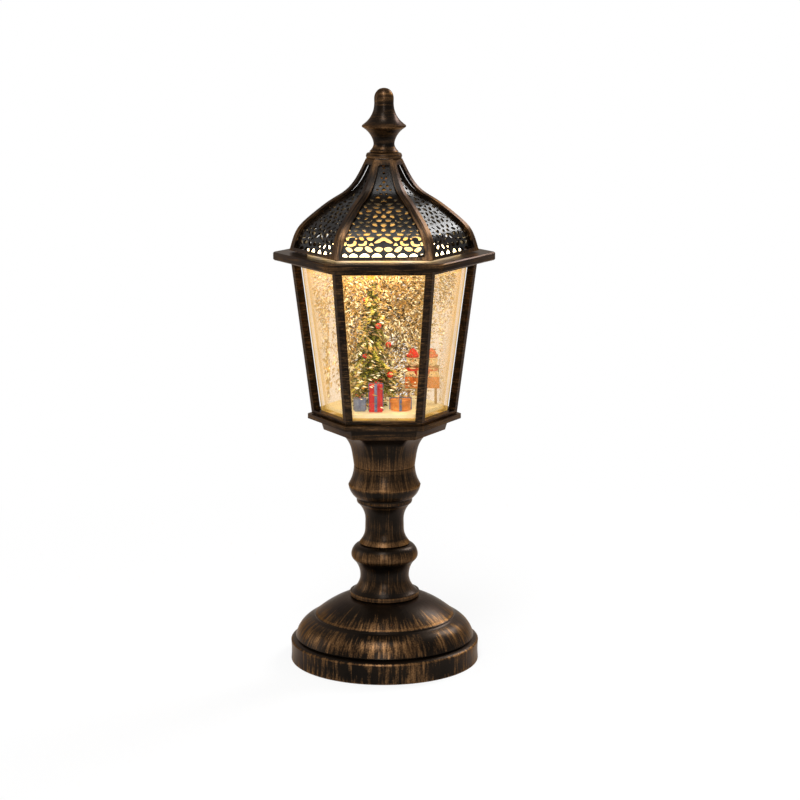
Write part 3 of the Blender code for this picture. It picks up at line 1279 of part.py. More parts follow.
def usb_foot():
    """The socket hangs under the control board."""
    return BASE_PLATE_HEIGHT + BOARD_GAP - CLEARANCE - USB_SIZE[2]


def bay_half():
    """Half the inside of the battery bay, across and along the cells."""
    across = CELL_COUNT * (CELL_RADIUS + CLEARANCE) + CLEARANCE
    along = (CELL_LENGTH + LEAF_LENGTH) / 2 + CONTACT_THICKNESS + 2 * CLEARANCE
    return across, along


def base_plate():
    """Underside of the foot, flush with its rim, with the battery opening and the switch slot."""
    outline = Outline(0, 0).line(BASE_RADIUS - BASE_WALL - CLEARANCE, 0)
    outline.line(BASE_RADIUS - BASE_WALL - CLEARANCE, BASE_PLATE_HEIGHT).line(0, BASE_PLATE_HEIGHT)
    plate = turned("base_plate", outline, LARGE_STEPS, black_plastic())
    across, along = bay_half()
    opening = bmesh.new()
    box(opening, (-across - DOOR_LAND, BAY_Y - along - DOOR_LAND, -OVERRUN),
        (across + DOOR_LAND, BAY_Y + along + DOOR_LAND, BASE_PLATE_HEIGHT + OVERRUN))
    combine(plate, cutter(opening, "bay_opening"), "DIFFERENCE")
    slot = bmesh.new()
    half_x = (SLIDER_SIZE[0] + SWITCH_TRAVEL) / 2 + CLEARANCE
    half_y = SLIDER_SIZE[1] / 2 + CLEARANCE
    box(slot, (-half_x, SWITCH_Y - half_y, -OVERRUN),
        (half_x, SWITCH_Y + half_y, BASE_PLATE_HEIGHT + OVERRUN))
    combine(plate, cutter(slot, "switch_slot"), "DIFFERENCE")
    posts = bmesh.new()
    for side in (-1, 1):
        for end in (-1, 1):
            x = side * (CONTROL_BOARD_SIZE[0] / 2 - BOARD_POST_RADIUS)
            y = CONTROL_BOARD_Y + end * CONTROL_BOARD_SIZE[1] / 4
            rod(posts, BOARD_POST_RADIUS, (x, y, BASE_PLATE_HEIGHT - CLEARANCE),
                (x, y, BASE_PLATE_HEIGHT + BOARD_GAP - CLEARANCE), TINY_STEPS)
    combine(plate, cutter(posts, "board_posts"), "UNION")
    holes = bmesh.new()
    heads = bmesh.new()
    for at in screw_places():
        below = at - Vector((0, 0, OVERRUN))
        rod(holes, SCREW_RADIUS + CLEARANCE, below,
            at + Vector((0, 0, BASE_PLATE_HEIGHT + OVERRUN)), TINY_STEPS)
        rod(heads, SCREW_HEAD_RADIUS + CLEARANCE, below, at + Vector((0, 0, SCREW_HEAD_HEIGHT + CLEARANCE)))
    combine(plate, cutter(holes, "screw_holes"), "DIFFERENCE")
    return combine(plate, cutter(heads, "screw_sinks"), "DIFFERENCE")


def battery_bay():
    """Open-bottomed tray over the cells, its flange resting on the base plate."""
    across, along = bay_half()
    foot = BASE_PLATE_HEIGHT + CLEARANCE
    roof = DOOR_THICKNESS + 2 * CLEARANCE + 2 * CELL_RADIUS
    wall = BAY_WALL
    flange = DOOR_LAND + BAY_WALL

    def rectangle(extra, height):
        x = across + extra
        y = along + extra
        return [Vector(corner) for corner in (
            (-x, BAY_Y - y, height), (x, BAY_Y - y, height), (x, BAY_Y + y, height), (-x, BAY_Y + y, height))]

    rings = [
        rectangle(0, roof), rectangle(0, foot), rectangle(flange, foot), rectangle(flange, foot + wall),
        rectangle(wall, foot + wall), rectangle(wall, roof + wall),
    ]
    finish = material("bay_plastic", (0.05, 0.05, 0.052), 0.5, 0.0)
    return lofted("battery_bay", rings, finish, smooth_angle=0.3)


def battery_door():
    """Door over the cells, turning about its rear edge, with a finger latch at the front."""
    across, along = bay_half()
    half_x = across + DOOR_LAND - CLEARANCE
    radius = DOOR_THICKNESS / 2
    rear = BAY_Y + along + DOOR_LAND - CLEARANCE - radius
    front = BAY_Y - along - DOOR_LAND + CLEARANCE
    outline = [(front - rear, radius), (0, radius)]
    for step in range(1, TINY_STEPS):
        angle = math.pi / 2 - math.pi * step / TINY_STEPS
        outline.append((radius * math.cos(angle), radius * math.sin(angle)))
    outline += [(0, -radius), (front - rear, -radius)]
    bm = bmesh.new()
    ends = [[bm.verts.new((x, y, z)) for y, z in outline] for x in (-half_x, half_x)]
    count = len(outline)
    for k in range(count):
        bm.faces.new((ends[0][k], ends[0][(k + 1) % count], ends[1][(k + 1) % count], ends[1][k]))
    bm.faces.new(ends[0])
    bm.faces.new(reversed(ends[1]))
    door = place(bm, "battery_door", black_plastic())
    door.location = (0, rear, radius)
    pull = bmesh.new()
    box(pull, (-LATCH_WIDTH / 2, front - rear + LATCH_DEPTH / 3, -radius - OVERRUN),
        (LATCH_WIDTH / 2, front - rear + LATCH_DEPTH, -radius / 4))
    dish = cutter(pull, "door_pull")
    dish.location = door.location
    return combine(door, dish, "DIFFERENCE")


def base_screws():
    """Screws up through the base plate into the shell's bosses."""
    for k, at in enumerate(screw_places()):
        foot = CLEARANCE / 2
        outline = Outline(0, foot + SCREW_HEAD_HEIGHT / 2).line(SCREW_HEAD_RADIUS / 2, foot)
        outline.line(SCREW_HEAD_RADIUS, foot).line(SCREW_HEAD_RADIUS, SCREW_HEAD_HEIGHT)
        outline.line(SCREW_RADIUS, SCREW_HEAD_HEIGHT).line(SCREW_RADIUS, SCREW_LENGTH)
        outline.line(0, SCREW_LENGTH + SCREW_RADIUS)
        screw = turned(f"base_screw_{k + 1}", outline, TINY_STEPS, steel())
        screw.location = at


def battery_cells():
    """Three slim cells side by side, head to tail."""
    half = CELL_LENGTH / 2
    shoulder = half - CELL_NUB_HEIGHT
    offset = LEAF_LENGTH / 2
    for k in range(CELL_COUNT):
        outline = Outline(0, -half).line(CELL_RADIUS, -half).line(CELL_RADIUS, shoulder)
        outline.line(CELL_NUB_RADIUS, shoulder).line(CELL_NUB_RADIUS, half).line(0, half)
        jacket = material("cell_jacket", (0.35, 0.36, 0.38), 0.35, 0.4)
        cell = turned(f"battery_cell_{k + 1}", outline, SMALL_STEPS, jacket)
        way = -1 if k % 2 == 0 else 1
        cell.rotation_euler.x = -way * math.pi / 2
        x = (k - (CELL_COUNT - 1) / 2) * 2 * (CELL_RADIUS + CLEARANCE)
        cell.location = (x, BAY_Y + way * offset, DOOR_THICKNESS + CLEARANCE + CELL_RADIUS)


def battery_contacts():
    """Strips across both ends of the bay, with a bent leaf behind each cell's flat end."""
    across, along = bay_half()
    low = DOOR_THICKNESS + 2 * CLEARANCE + CONTACT_THICKNESS
    high = DOOR_THICKNESS + 2 * CELL_RADIUS
    middle = (low + high) / 2
    for end, name in ((-1, "front"), (1, "rear")):
        wall = BAY_Y + end * (along - CLEARANCE)
        face = wall - end * CONTACT_THICKNESS
        bm = bmesh.new()
        box(bm, (CLEARANCE - across, min(wall, face), low), (across - CLEARANCE, max(wall, face), high))
        strip = place(bm, f"contact_{name}", steel())
        leaves = bmesh.new()
        for k in range(CELL_COUNT):
            way = -1 if k % 2 == 0 else 1
            if way == end:
                continue
            x = (k - (CELL_COUNT - 1) / 2) * 2 * (CELL_RADIUS + CLEARANCE)
            tip = face - end * (LEAF_LENGTH - 2 * CLEARANCE)
            back = face + end * CLEARANCE
            profile = [(back, low), (tip, middle), (back, high), (back, high - CONTACT_THICKNESS * 2),
                       (tip + end * CONTACT_THICKNESS, middle), (back, low + CONTACT_THICKNESS * 2)]
            ends = [[leaves.verts.new((x + side * LEAF_WIDTH / 2, y, z)) for y, z in profile] for side in (-1, 1)]
            for i in range(len(profile)):
                j = (i + 1) % len(profile)
                leaves.faces.new((ends[0][i], ends[0][j], ends[1][j], ends[1][i]))
            leaves.faces.new(ends[0])
            leaves.faces.new(reversed(ends[1]))
        combine(strip, cutter(leaves, f"leaves_{name}"), "UNION")


def control_board():
    """Board on the base plate's posts, with its timer chip."""
    width, depth, height = CONTROL_BOARD_SIZE
    foot = BASE_PLATE_HEIGHT + BOARD_GAP
    bm = bmesh.new()
    box(bm, (-width / 2, CONTROL_BOARD_Y - depth / 2, foot),
        (width / 2, CONTROL_BOARD_Y + depth / 2, foot + height))
    board = place(bm, "control_board", material("board_green", (0.04, 0.22, 0.10), 0.5, 0.0))
    chip = bmesh.new()
    box(chip, (-CHIP_SIZE[0] / 2, CONTROL_BOARD_Y, foot + height - CLEARANCE),
        (CHIP_SIZE[0] / 2, CONTROL_BOARD_Y + CHIP_SIZE[1], foot + height + CHIP_SIZE[2]))
    return combine(board, cutter(chip, "timer_chip"), "UNION")


def usb_socket():
    """Power socket under the rear edge of the board, open to the back."""
    width, depth, height = USB_SIZE
    foot = usb_foot()
    rear = BASE_RADIUS - USB_RECESS
    bm = bmesh.new()
    box(bm, (-width / 2, rear - depth, foot), (width / 2, rear, foot + height))
    socket = place(bm, "usb_socket", steel())
    mouth = bmesh.new()
    box(mouth, (-width / 2 + USB_WALL, rear - depth + 2 * USB_WALL, foot + USB_WALL),
        (width / 2 - USB_WALL, rear + OVERRUN, foot + height - USB_WALL))
    combine(socket, cutter(mouth, "usb_mouth"), "DIFFERENCE")
    wide, deep, tall = (size * share for size, share in zip(USB_SIZE, USB_TONGUE_SHARE))
    tongue = bmesh.new()
    middle = foot + height / 2
    box(tongue, (-wide / 2, rear - depth + USB_WALL, middle - tall / 2),
        (wide / 2, rear - depth + deep, middle + tall / 2))
    return combine(socket, cutter(tongue, "usb_tongue"), "UNION")


def switch():
    """Three-place slide switch over a slot in the base plate, and its slider."""
    width, depth, height = SWITCH_SIZE
    foot = BASE_PLATE_HEIGHT + CLEARANCE
    bm = bmesh.new()
    box(bm, (-width / 2, SWITCH_Y - depth / 2, foot), (width / 2, SWITCH_Y + depth / 2, foot + height))
    body = place(bm, "switch_body", steel())
    half_x = (SLIDER_SIZE[0] + SWITCH_TRAVEL) / 2 + CLEARANCE
    half_y = SLIDER_SIZE[1] / 2 + CLEARANCE
    channel = bmesh.new()
    box(channel, (-half_x, SWITCH_Y - half_y, foot - OVERRUN),
        (half_x, SWITCH_Y + half_y, foot + SLIDER_ROOT))
    combine(body, cutter(channel, "switch_channel"), "DIFFERENCE")
    wide, deep = SLIDER_SIZE
    slider = bmesh.new()
    box(slider, (-wide / 2, -deep / 2, SLIDER_RECESS), (wide / 2, deep / 2, foot + SLIDER_ROOT - CLEARANCE))
    knob = place(slider, "switch_slider", material("slider_white", (0.8, 0.8, 0.78), 0.5, 0.0))
    knob.location = (-SWITCH_TRAVEL / 2, SWITCH_Y, 0)


def lead(name, corners, finish):
    """Insulated lead: a round tube through these points."""
    curve = bpy.data.curves.new(name, "CURVE")
    curve.dimensions = "3D"
    curve.bevel_depth = LEAD_RADIUS
    curve.bevel_resolution = 1
    curve.use_fill_caps = True
    spline = curve.splines.new("POLY")
    spline.points.add(len(corners) - 1)
    for point, corner in zip(spline.points, corners):
        point.co = (*corner, 1)
    curve.materials.append(finish)
    obj = bpy.data.objects.new(name, curve)
    bpy.context.scene.collection.objects.link(obj)
    return obj


def leads():
    """Motor lead and lamp lead, from the board up the tie tube."""
    board_top = BASE_PLATE_HEIGHT + BOARD_GAP + CONTROL_BOARD_SIZE[2]
    tube_foot = BASE_TOP - BASE_WALL - TUBE_NUT_HEIGHT - TUBE_END
    tube_head = SPOOL_TOP + BULB_FLOOR + TUBE_NUT_HEIGHT + TUBE_END
    inner = (TUBE_RADIUS - TUBE_WALL) / 3
    start = CONTROL_BOARD_Y - CHIP_SIZE[1] / 2
    across = CHIP_SIZE[0]

    def lower(side):
        rest = board_top + CLEARANCE + LEAD_RADIUS
        return [Vector(point) for point in (
            (side * across, start, rest), (side * across, start - 2 * LEAD_SLOT, rest + LEAD_SLOT),
            (side * 2 * inner, start / 2, (rest + tube_foot) / 2),
            (side * inner, 2 * LEAD_SLOT, tube_foot - LEAD_SLOT),
            (side * inner, 0, tube_foot + LEAD_SLOT))]

    motor_end = MOTOR_FOOT - CLEARANCE
    lead("motor_leads", lower(-1) + [Vector((-inner, 0, tube_head)), Vector((-inner, 0, motor_end))],
         material("lead_red", (0.5, 0.03, 0.02), 0.5, 0.0))
    turn_height = (tube_head + MOTOR_FOOT) / 2
    pocket = lead_pocket_radius()
    sill_floor = CUP_TOP + SILL_FLOOR
    slot = SILL_TOP - 2 * CLEARANCE / 3 - LEAD_RADIUS
    plate_way = DIFFUSER_RADIUS + LEAD_RADIUS + CLEARANCE
    board = BOARD_FOOT + BOARD_HEIGHT + LEAD_RADIUS + CLEARANCE
    climb = [
        (pocket, turn_height), (pocket, MOTOR_TOP + MOTOR_PLATE_HEIGHT + LEAD_RADIUS),
        (LEAD_HOLE_RADIUS, CUP_TOP - LEAD_SLOT), (LEAD_HOLE_RADIUS, sill_floor + LEAD_RADIUS),
        (SILL_CHAMBER_RADIUS - LEAD_SLOT, slot), (lead_post_radius(SILL_TOP), slot),
        (lead_post_radius(SILL_TOP + LEAD_SLOT), SILL_TOP + LEAD_SLOT),
        (lead_post_radius(FRAME_TOP), FRAME_TOP), (plate_way, PLATE_TOP),
        (plate_way, PLATE_TOP + LEAD_SLOT), ((plate_way + BOARD_RADIUS) / 2, board),
        (BOARD_RADIUS - LEAD_SLOT, board),
    ]
    lead("led_leads", lower(1) + [Vector((inner, 0, turn_height))]
         + [polar(radius, LEAD_ANGLE, height) for radius, height in climb],
         material("lead_black", (0.03, 0.03, 0.03), 0.5, 0.0))


def main():
    for obj in list(bpy.data.objects):
        bpy.data.objects.remove(obj)
    base_shell()
    base_plate()
    base_screws()
    battery_bay()
    battery_door()
    battery_cells()
    battery_contacts()
    control_board()
    usb_socket()
    switch()
    column_foot()
    column_spool()
    column_bulb()
    neck_cup()
    tie_tube()
    tube_nuts()
    motor()
    motor_plate()
    drive_magnet()
    leads()
    sill()
    window_frame()
    tank()
    impeller()
    tank_gasket()
    tank_lid()
    filler_plug()
    snow_ground()
    tree()
    tree_star()
    gifts()
    bench()
    snowmen()
    lap_blanket()
    roof_plate()
    diffuser()
    led_board()
    led()
    dome_frame()
    filigree_panels()
    crown_collar()
    finial()
    finial_nut()


if __name__ == "__main__":
    main()
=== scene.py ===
"""Looks of a hexagonal Christmas lantern: antique bronze paint, a pierced roof and a lit glitter tank.

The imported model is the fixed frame. Each operator dresses one piece, or one group of like pieces.
"""

import math
import random

import bmesh
import bpy
from bpy.props import FloatProperty, FloatVectorProperty, IntProperty, PointerProperty
from mathutils import Matrix, Vector, noise
from mathutils.geometry import delaunay_2d_cdt


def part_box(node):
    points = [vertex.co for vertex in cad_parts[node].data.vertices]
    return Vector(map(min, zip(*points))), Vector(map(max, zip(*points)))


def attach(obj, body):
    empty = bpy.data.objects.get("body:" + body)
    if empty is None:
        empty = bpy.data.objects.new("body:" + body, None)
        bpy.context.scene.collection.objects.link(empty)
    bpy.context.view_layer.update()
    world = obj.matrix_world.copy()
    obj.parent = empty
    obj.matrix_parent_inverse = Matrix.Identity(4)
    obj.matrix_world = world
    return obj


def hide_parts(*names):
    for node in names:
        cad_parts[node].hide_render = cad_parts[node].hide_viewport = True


bl_info = {
    "name": "Christmas lantern",
    "version": (1, 0, 0),
    "blender": (4, 5, 0),
    "location": "View3D > Sidebar > Lantern",
    "description": "Dresses a lantern with a glitter tank in brushed bronze paint, glass, snow and light",
    "category": "Object",
}

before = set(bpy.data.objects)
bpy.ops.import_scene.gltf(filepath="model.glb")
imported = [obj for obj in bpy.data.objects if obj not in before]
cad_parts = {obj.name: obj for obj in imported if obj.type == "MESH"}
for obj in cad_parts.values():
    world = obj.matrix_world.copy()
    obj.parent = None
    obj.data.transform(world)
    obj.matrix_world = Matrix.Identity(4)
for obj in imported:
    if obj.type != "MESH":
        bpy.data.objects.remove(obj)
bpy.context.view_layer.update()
BODY = "lantern"
SIDES = 6
CREASE = math.radians(32)
REJOIN = math.radians(12)
RIDGE_GAIN = 2.6
MERGE = 0.000002

# The photograph's view: eye, pitch and lens
EYE = (0.00774, -1.0428, 0.3342)
PITCH = math.radians(10.99)
LENS = 96.6

# Levels that other pieces stand on, read from the frame
FRAME_FOOT, FRAME_TOP = (corner.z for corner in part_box("window_frame"))
SNOW_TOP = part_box("snow_ground")[1].z
TANK_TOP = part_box("tank")[1].z


class Link:
    """A socket in a material. Python's operators on it add Math nodes."""

    def __init__(self, finish, socket):
        self.finish = finish
        self.socket = socket

    def math(self, operation, *others):
        return self.finish.math(operation, self, *others)

    def __add__(self, other):
        return self.math("ADD", other)

    def __radd__(self, other):
        return self.finish.math("ADD", other, self)

    def __sub__(self, other):
        return self.math("SUBTRACT", other)

    def __rsub__(self, other):
        return self.finish.math("SUBTRACT", other, self)

    def __mul__(self, other):
        return self.math("MULTIPLY", other)

    def __rmul__(self, other):
        return self.finish.math("MULTIPLY", other, self)

    def __truediv__(self, other):
        return self.math("DIVIDE", other)

    def __pow__(self, other):
        return self.math("POWER", other)

    def clamped(self, low, high):
        """0 at low, 1 at high, and straight between them."""
        inputs = {"Value": self, "From Min": low, "From Max": high}
        return self.finish.node("ShaderNodeMapRange", {"clamp": True}, inputs)


class Finish:
    """A procedural material in the making. One method adds every kind of node."""

    def __init__(self, name, world=None):
        self.material = world or bpy.data.materials.new(name)
        self.material.use_nodes = True
        self.tree = self.material.node_tree
        self.tree.nodes.clear()

    def node(self, kind, settings=None, inputs=None, output=0):
        """Adds a node: its type, its settings, the values or links of its sockets, the output wanted."""
        made = self.tree.nodes.new(kind)
        for key, value in (settings or {}).items():
            if key == "ramp":
                self.set_ramp(made.color_ramp, value)
            else:
                setattr(made, key, value)
        for key, value in (inputs or {}).items():
            if isinstance(value, Link):
                self.tree.links.new(value.socket, made.inputs[key])
            else:
                made.inputs[key].default_value = value
        return None if output is None else Link(self, made.outputs[output])

    def set_ramp(self, ramp, stops):
        while len(ramp.elements) < len(stops):
            ramp.elements.new(1.0)
        for element, (position, colour) in zip(ramp.elements, stops):
            element.position = position
            element.color = (*colour, 1.0)

    def math(self, operation, *values):
        return self.node("ShaderNodeMath", {"operation": operation}, dict(enumerate(values)))

    def place(self):
        return self.node("ShaderNodeTexCoord", output="Object")

    def split(self, vector):
        made = self.node("ShaderNodeSeparateXYZ", inputs={"Vector": vector}).socket.node
        return [Link(self, socket) for socket in made.outputs]

    def join(self, x, y, z):
        return self.node("ShaderNodeCombineXYZ", inputs={"X": x, "Y": y, "Z": z})

    def noise(self, vector, scale, detail=3.0, roughness=0.5, output="Fac"):
        inputs = {"Vector": vector, "Scale": scale, "Detail": detail, "Roughness": roughness}
        return self.node("ShaderNodeTexNoise", inputs=inputs, output=output)

    def mix(self, factor, first, second):
        """Goes from the first colour to the second as the factor goes from 0 to 1."""
        colours = {key: value if isinstance(value, Link) else (*value, 1.0)
                   for key, value in ((6, first), (7, second))}
        return self.node("ShaderNodeMix", {"data_type": "RGBA"}, {0: factor, **colours}, output=2)

    def bump(self, height, strength, depth):
        inputs = {"Height": height, "Strength": strength, "Distance": depth}
        return self.node("ShaderNodeBump", inputs=inputs, output="Normal")

    def surface(self, **sockets):
        """Ends the material in a Principled shader and returns the material."""
        inputs = {}
        for key, value in sockets.items():
            name = key.replace("_", " ").title().replace("Ior", "IOR")
            colour = isinstance(value, tuple) and len(value) == 3
            inputs[name] = (*value, 1.0) if colour else value
        shader = self.node("ShaderNodeBsdfPrincipled", inputs=inputs)
        return self.end(shader)

    def end(self, shader, kind="ShaderNodeOutputMaterial"):
        self.node(kind, inputs={"Surface": shader}, output=None)
        return self.material


def strokes(f, run, fine, slow):
    """Brush strokes down a form, or round it, as a noise drawn out along the stroke."""
    x, y, z = f.split(f.place())
    if run == "down":
        radius = (x * x + y * y) ** 0.5
        along = (z - radius) * slow
        return f.noise(f.join(x / radius * fine, y / radius * fine, along), 1.0, 4.0, 0.62)
    return f.noise(f.join(x * slow, y * slow, z * fine), 1.0, 4.0, 0.62)


# How much each noise and each ridge counts in the copper, the most of it, and the paint's grain; the copper
# is rubbed wear, and on ridges also painted highlight
BRUSH_SHARE = 1.9
BROAD_SHARE = 1.1
CLOUD_SHARE = 0.7
GRIT_SHARE = 0.5
RIDGE_SHARE = 0.5
MOST_COPPER_WEAR_AND_LIGHT = 0.62
GRAIN_DEPTH = 0.0002


def antique_bronze(name, colours, run, fine, slow, rub, contrast=1.0, wear_and_light_bands=()):
    """Near-black paint with copper dragged over it, most of it along the ridges, where it is rubbed wear
    and painted highlight.

    A band is a height, its half width and how much more copper it takes, as wear and painted highlight, or
    less in a groove, as painted shade.
    """
    f = Finish(name)
    brush = strokes(f, run, fine, slow)
    broad = strokes(f, run, fine * 0.35, slow * 0.6)
    cloud = f.noise(f.place(), 55.0, 3.0, 0.6)
    grit = f.noise(f.place(), 1500.0, 2.0, 0.6)
    ridge = f.node("ShaderNodeAttribute", {"attribute_name": "ridge"}, output="Fac")
    copper_rub_and_light = (brush - 0.5) * BRUSH_SHARE + (broad - 0.5) * BROAD_SHARE
    copper_rub_and_light = copper_rub_and_light + (cloud - 0.5) * CLOUD_SHARE + (grit - 0.5) * GRIT_SHARE
    # Ridges take more copper and grooves less: rubbed wear, with painted highlight on ridges and painted
    # shade in grooves
    copper_rub_and_light = copper_rub_and_light * contrast + ridge * RIDGE_SHARE + rub
    height = f.split(f.place())[2] if wear_and_light_bands else None
    # Bands add copper on edges and swells as painted highlight with the rub, and take it out of grooves as
    # painted shade
    for level, half, gain in wear_and_light_bands:
        copper_rub_and_light = copper_rub_and_light + (1 - (height - level).math("ABSOLUTE") / half).clamped(0.0, 0.7) * gain
    copper_wear_and_light = copper_rub_and_light.clamped(0.0, MOST_COPPER_WEAR_AND_LIGHT)
    shade = f.mix(cloud.clamped(0.35, 0.65), tuple(colours.dark), tuple(colours.deep))
    lit = (brush * 0.8 + grit * 0.4).clamped(0.52, 0.82)
    copper = f.mix(lit, tuple(colours.copper), tuple(colours.bright))
    return f.surface(
        base_color=f.mix(copper_wear_and_light, shade, copper), metallic=0.55 + copper_wear_and_light * 0.4,
        roughness=0.27 + grit * 0.12 + copper_wear_and_light * 0.06,
        specular_ior_level=0.12, specular_tint=(0.75, 0.55, 0.40),
        normal=f.bump(brush * 0.7 + grit * 0.3, 0.45, GRAIN_DEPTH),
        coat_weight=0.06, coat_roughness=0.25,
    )


# Heights of the grooves, edges and swells: more copper on edges and swells, rubbed wear with painted
# highlight, and less in grooves, painted shade
BASE_WEAR_AND_LIGHT_BANDS = (
    (0.0000, 0.0008, 0.3), (0.0098, 0.0007, 0.5), (0.0112, 0.0013, -1.0), (0.0165, 0.0036, 0.30),
    (0.0222, 0.0010, -1.0), (0.0232, 0.0006, 0.7), (0.0248, 0.0022, 0.20), (0.0306, 0.0030, -0.35),
)
COLUMN_WEAR_AND_LIGHT_BANDS = (
    (0.0340, 0.0006, 0.35), (0.0352, 0.0008, -0.6), (0.0385, 0.0030, 0.10), (0.0500, 0.0020, -0.2),
    (0.0530, 0.0030, 0.25), (0.0578, 0.0016, -0.3), (0.0606, 0.0014, 0.35), (0.0640, 0.0030, 0.12),
    (0.0790, 0.0009, 0.3), (0.0800, 0.0008, -0.6), (0.0828, 0.0011, -0.8), (0.0868, 0.0020, -0.2),
    (0.0892, 0.0009, 0.6), (0.0912, 0.0024, 0.18), (0.1145, 0.0030, -0.3),
)


def turned_curve(bm, layer, gain):
    """Marks how far each corner stands proud of its neighbours, from -1 in a groove to 1 on a ridge."""
    for vertex in bm.verts:
        bend = sum((vertex.co - edge.other_vert(vertex).co).dot(vertex.normal)
                   for edge in vertex.link_edges)
        reach = sum(edge.calc_length() for edge in vertex.link_edges)
        vertex[layer] = min(max(bend / reach * gain, -1.0), 1.0) if reach else 0.0


def refined(node, levels):
    """A finer copy of a frame node: its triangles rejoined to quads and subdivided between creases."""
    bm = bmesh.new()
    bm.from_mesh(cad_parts[node].data)
    bmesh.ops.remove_doubles(bm, verts=bm.verts, dist=MERGE)
    bmesh.ops.join_triangles(
        bm, faces=bm.faces, angle_face_threshold=REJOIN, angle_shape_threshold=math.pi,
    )
    bm.normal_update()
    sharp = bm.edges.layers.float.new("crease_edge")
    ridge = bm.verts.layers.float.new("ridge")
    turned_curve(bm, ridge, RIDGE_GAIN)
    for edge in bm.edges:
        hard = len(edge.link_faces) != 2 or edge.calc_face_angle() > CREASE
        edge[sharp] = 1.0 if hard else 0.0
        edge.smooth = not hard
    for face in bm.faces:
        face.smooth = True
    piece = piece_from(bm, node + "_finish")
    if levels:
        modifier = piece.modifiers.new("Smoother", "SUBSURF")
        modifier.levels = modifier.render_levels = levels
    return piece


def piece_from(bm, name):
    """Turns a mesh in the making into a piece of the scene."""
    mesh = bpy.data.meshes.new(name)
    bm.to_mesh(mesh)
    bm.free()
    piece = bpy.data.objects.new(name, mesh)
    bpy.context.scene.collection.objects.link(piece)
    return piece


def dress(piece, finish, body=BODY, nodes=()):
    """Gives a piece its finish, its body and the nodes that it stands for."""
    piece.data.materials.clear()
    piece.data.materials.append(finish)
    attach(piece, body)
    if nodes:
        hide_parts(*nodes)


def dress_node(node, finish, levels=2):
    """Puts a finer copy with its finish in the place of a frame node."""
    dress(refined(node, levels), finish, nodes=[node])


def coat(node, finish):
    """Gives a frame node that keeps its own mesh a finish."""
    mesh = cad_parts[node].data
    mesh.materials.clear()
    mesh.materials.append(finish)


# The roof's ogee: radius and rise at its three knots, and its handles as shares of the rise
DOME_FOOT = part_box("dome_frame")[0].z
DOME_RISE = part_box("crown_collar")[0].z - DOME_FOOT
DOME_RADII = (0.0464, 0.0279, 0.0088)
SWEEP_RISE_SHARE = 0.531
OGEE_PULL_SHARES = ((-0.082, 0.296), (0.369, -0.293), (-0.137, 0.109), (0.149, -0.404))
OGEE_STEPS = 24
APOTHEM = math.cos(math.pi / SIDES)
PANEL_DEPTH = 0.0018
PANEL_THICKNESS = 0.0010
OPEN_WORK = 0.13
SHEET_GRID = 0.0020
CORNER_CUT = 0.22
FIT = 0.0003

# The lamp's shade: its reach as a share of the ogee's, its foot on the diffuser and its wall
SHADE_SHARE = 0.56
SHADE_SEAT = 0.0016
SHADE_FOOT_RADIUS = 0.0225
SHADE_WALL = 0.0006

# Outlines of the piercings in a unit square: rounded by halving their corners
PIERCING_OUTLINE_SHARES = {
    "wedge": ((-1, -1), (1, -1), (0.75, 0.2), (0.1, 1), (-0.7, 0.5)),
    "leaf": ((-1, -0.15), (-0.3, -0.95), (0.5, -0.6), (1, 0.35), (0.3, 0.95), (-0.5, 0.6)),
    "petal": ((0, -1), (0.75, -0.1), (0.75, 0.5), (0, 1), (-0.75, 0.5), (-0.75, -0.1)),
    "chevron": ((-1, -1), (-0.45, -1), (0, -0.1), (0.45, -1), (1, -1), (0.35, 0.5), (0, 1), (-0.35, 0.5)),
    "triangle": ((-1, 0.9), (0, -1), (1, 0.9), (0, 0.7)),
    "hook": ((-1, 0.9), (-1, -0.4), (-0.3, -1), (0.8, -0.9), (1, -0.2), (0.2, -0.4), (-0.4, 0.1),
             (-0.4, 0.9)),
    "slit": ((-1, 0), (0, -0.8), (1, 0), (0, 0.8)),
    "dot": ((-1, 0), (0, -1), (1, 0), (0, 1)),
}

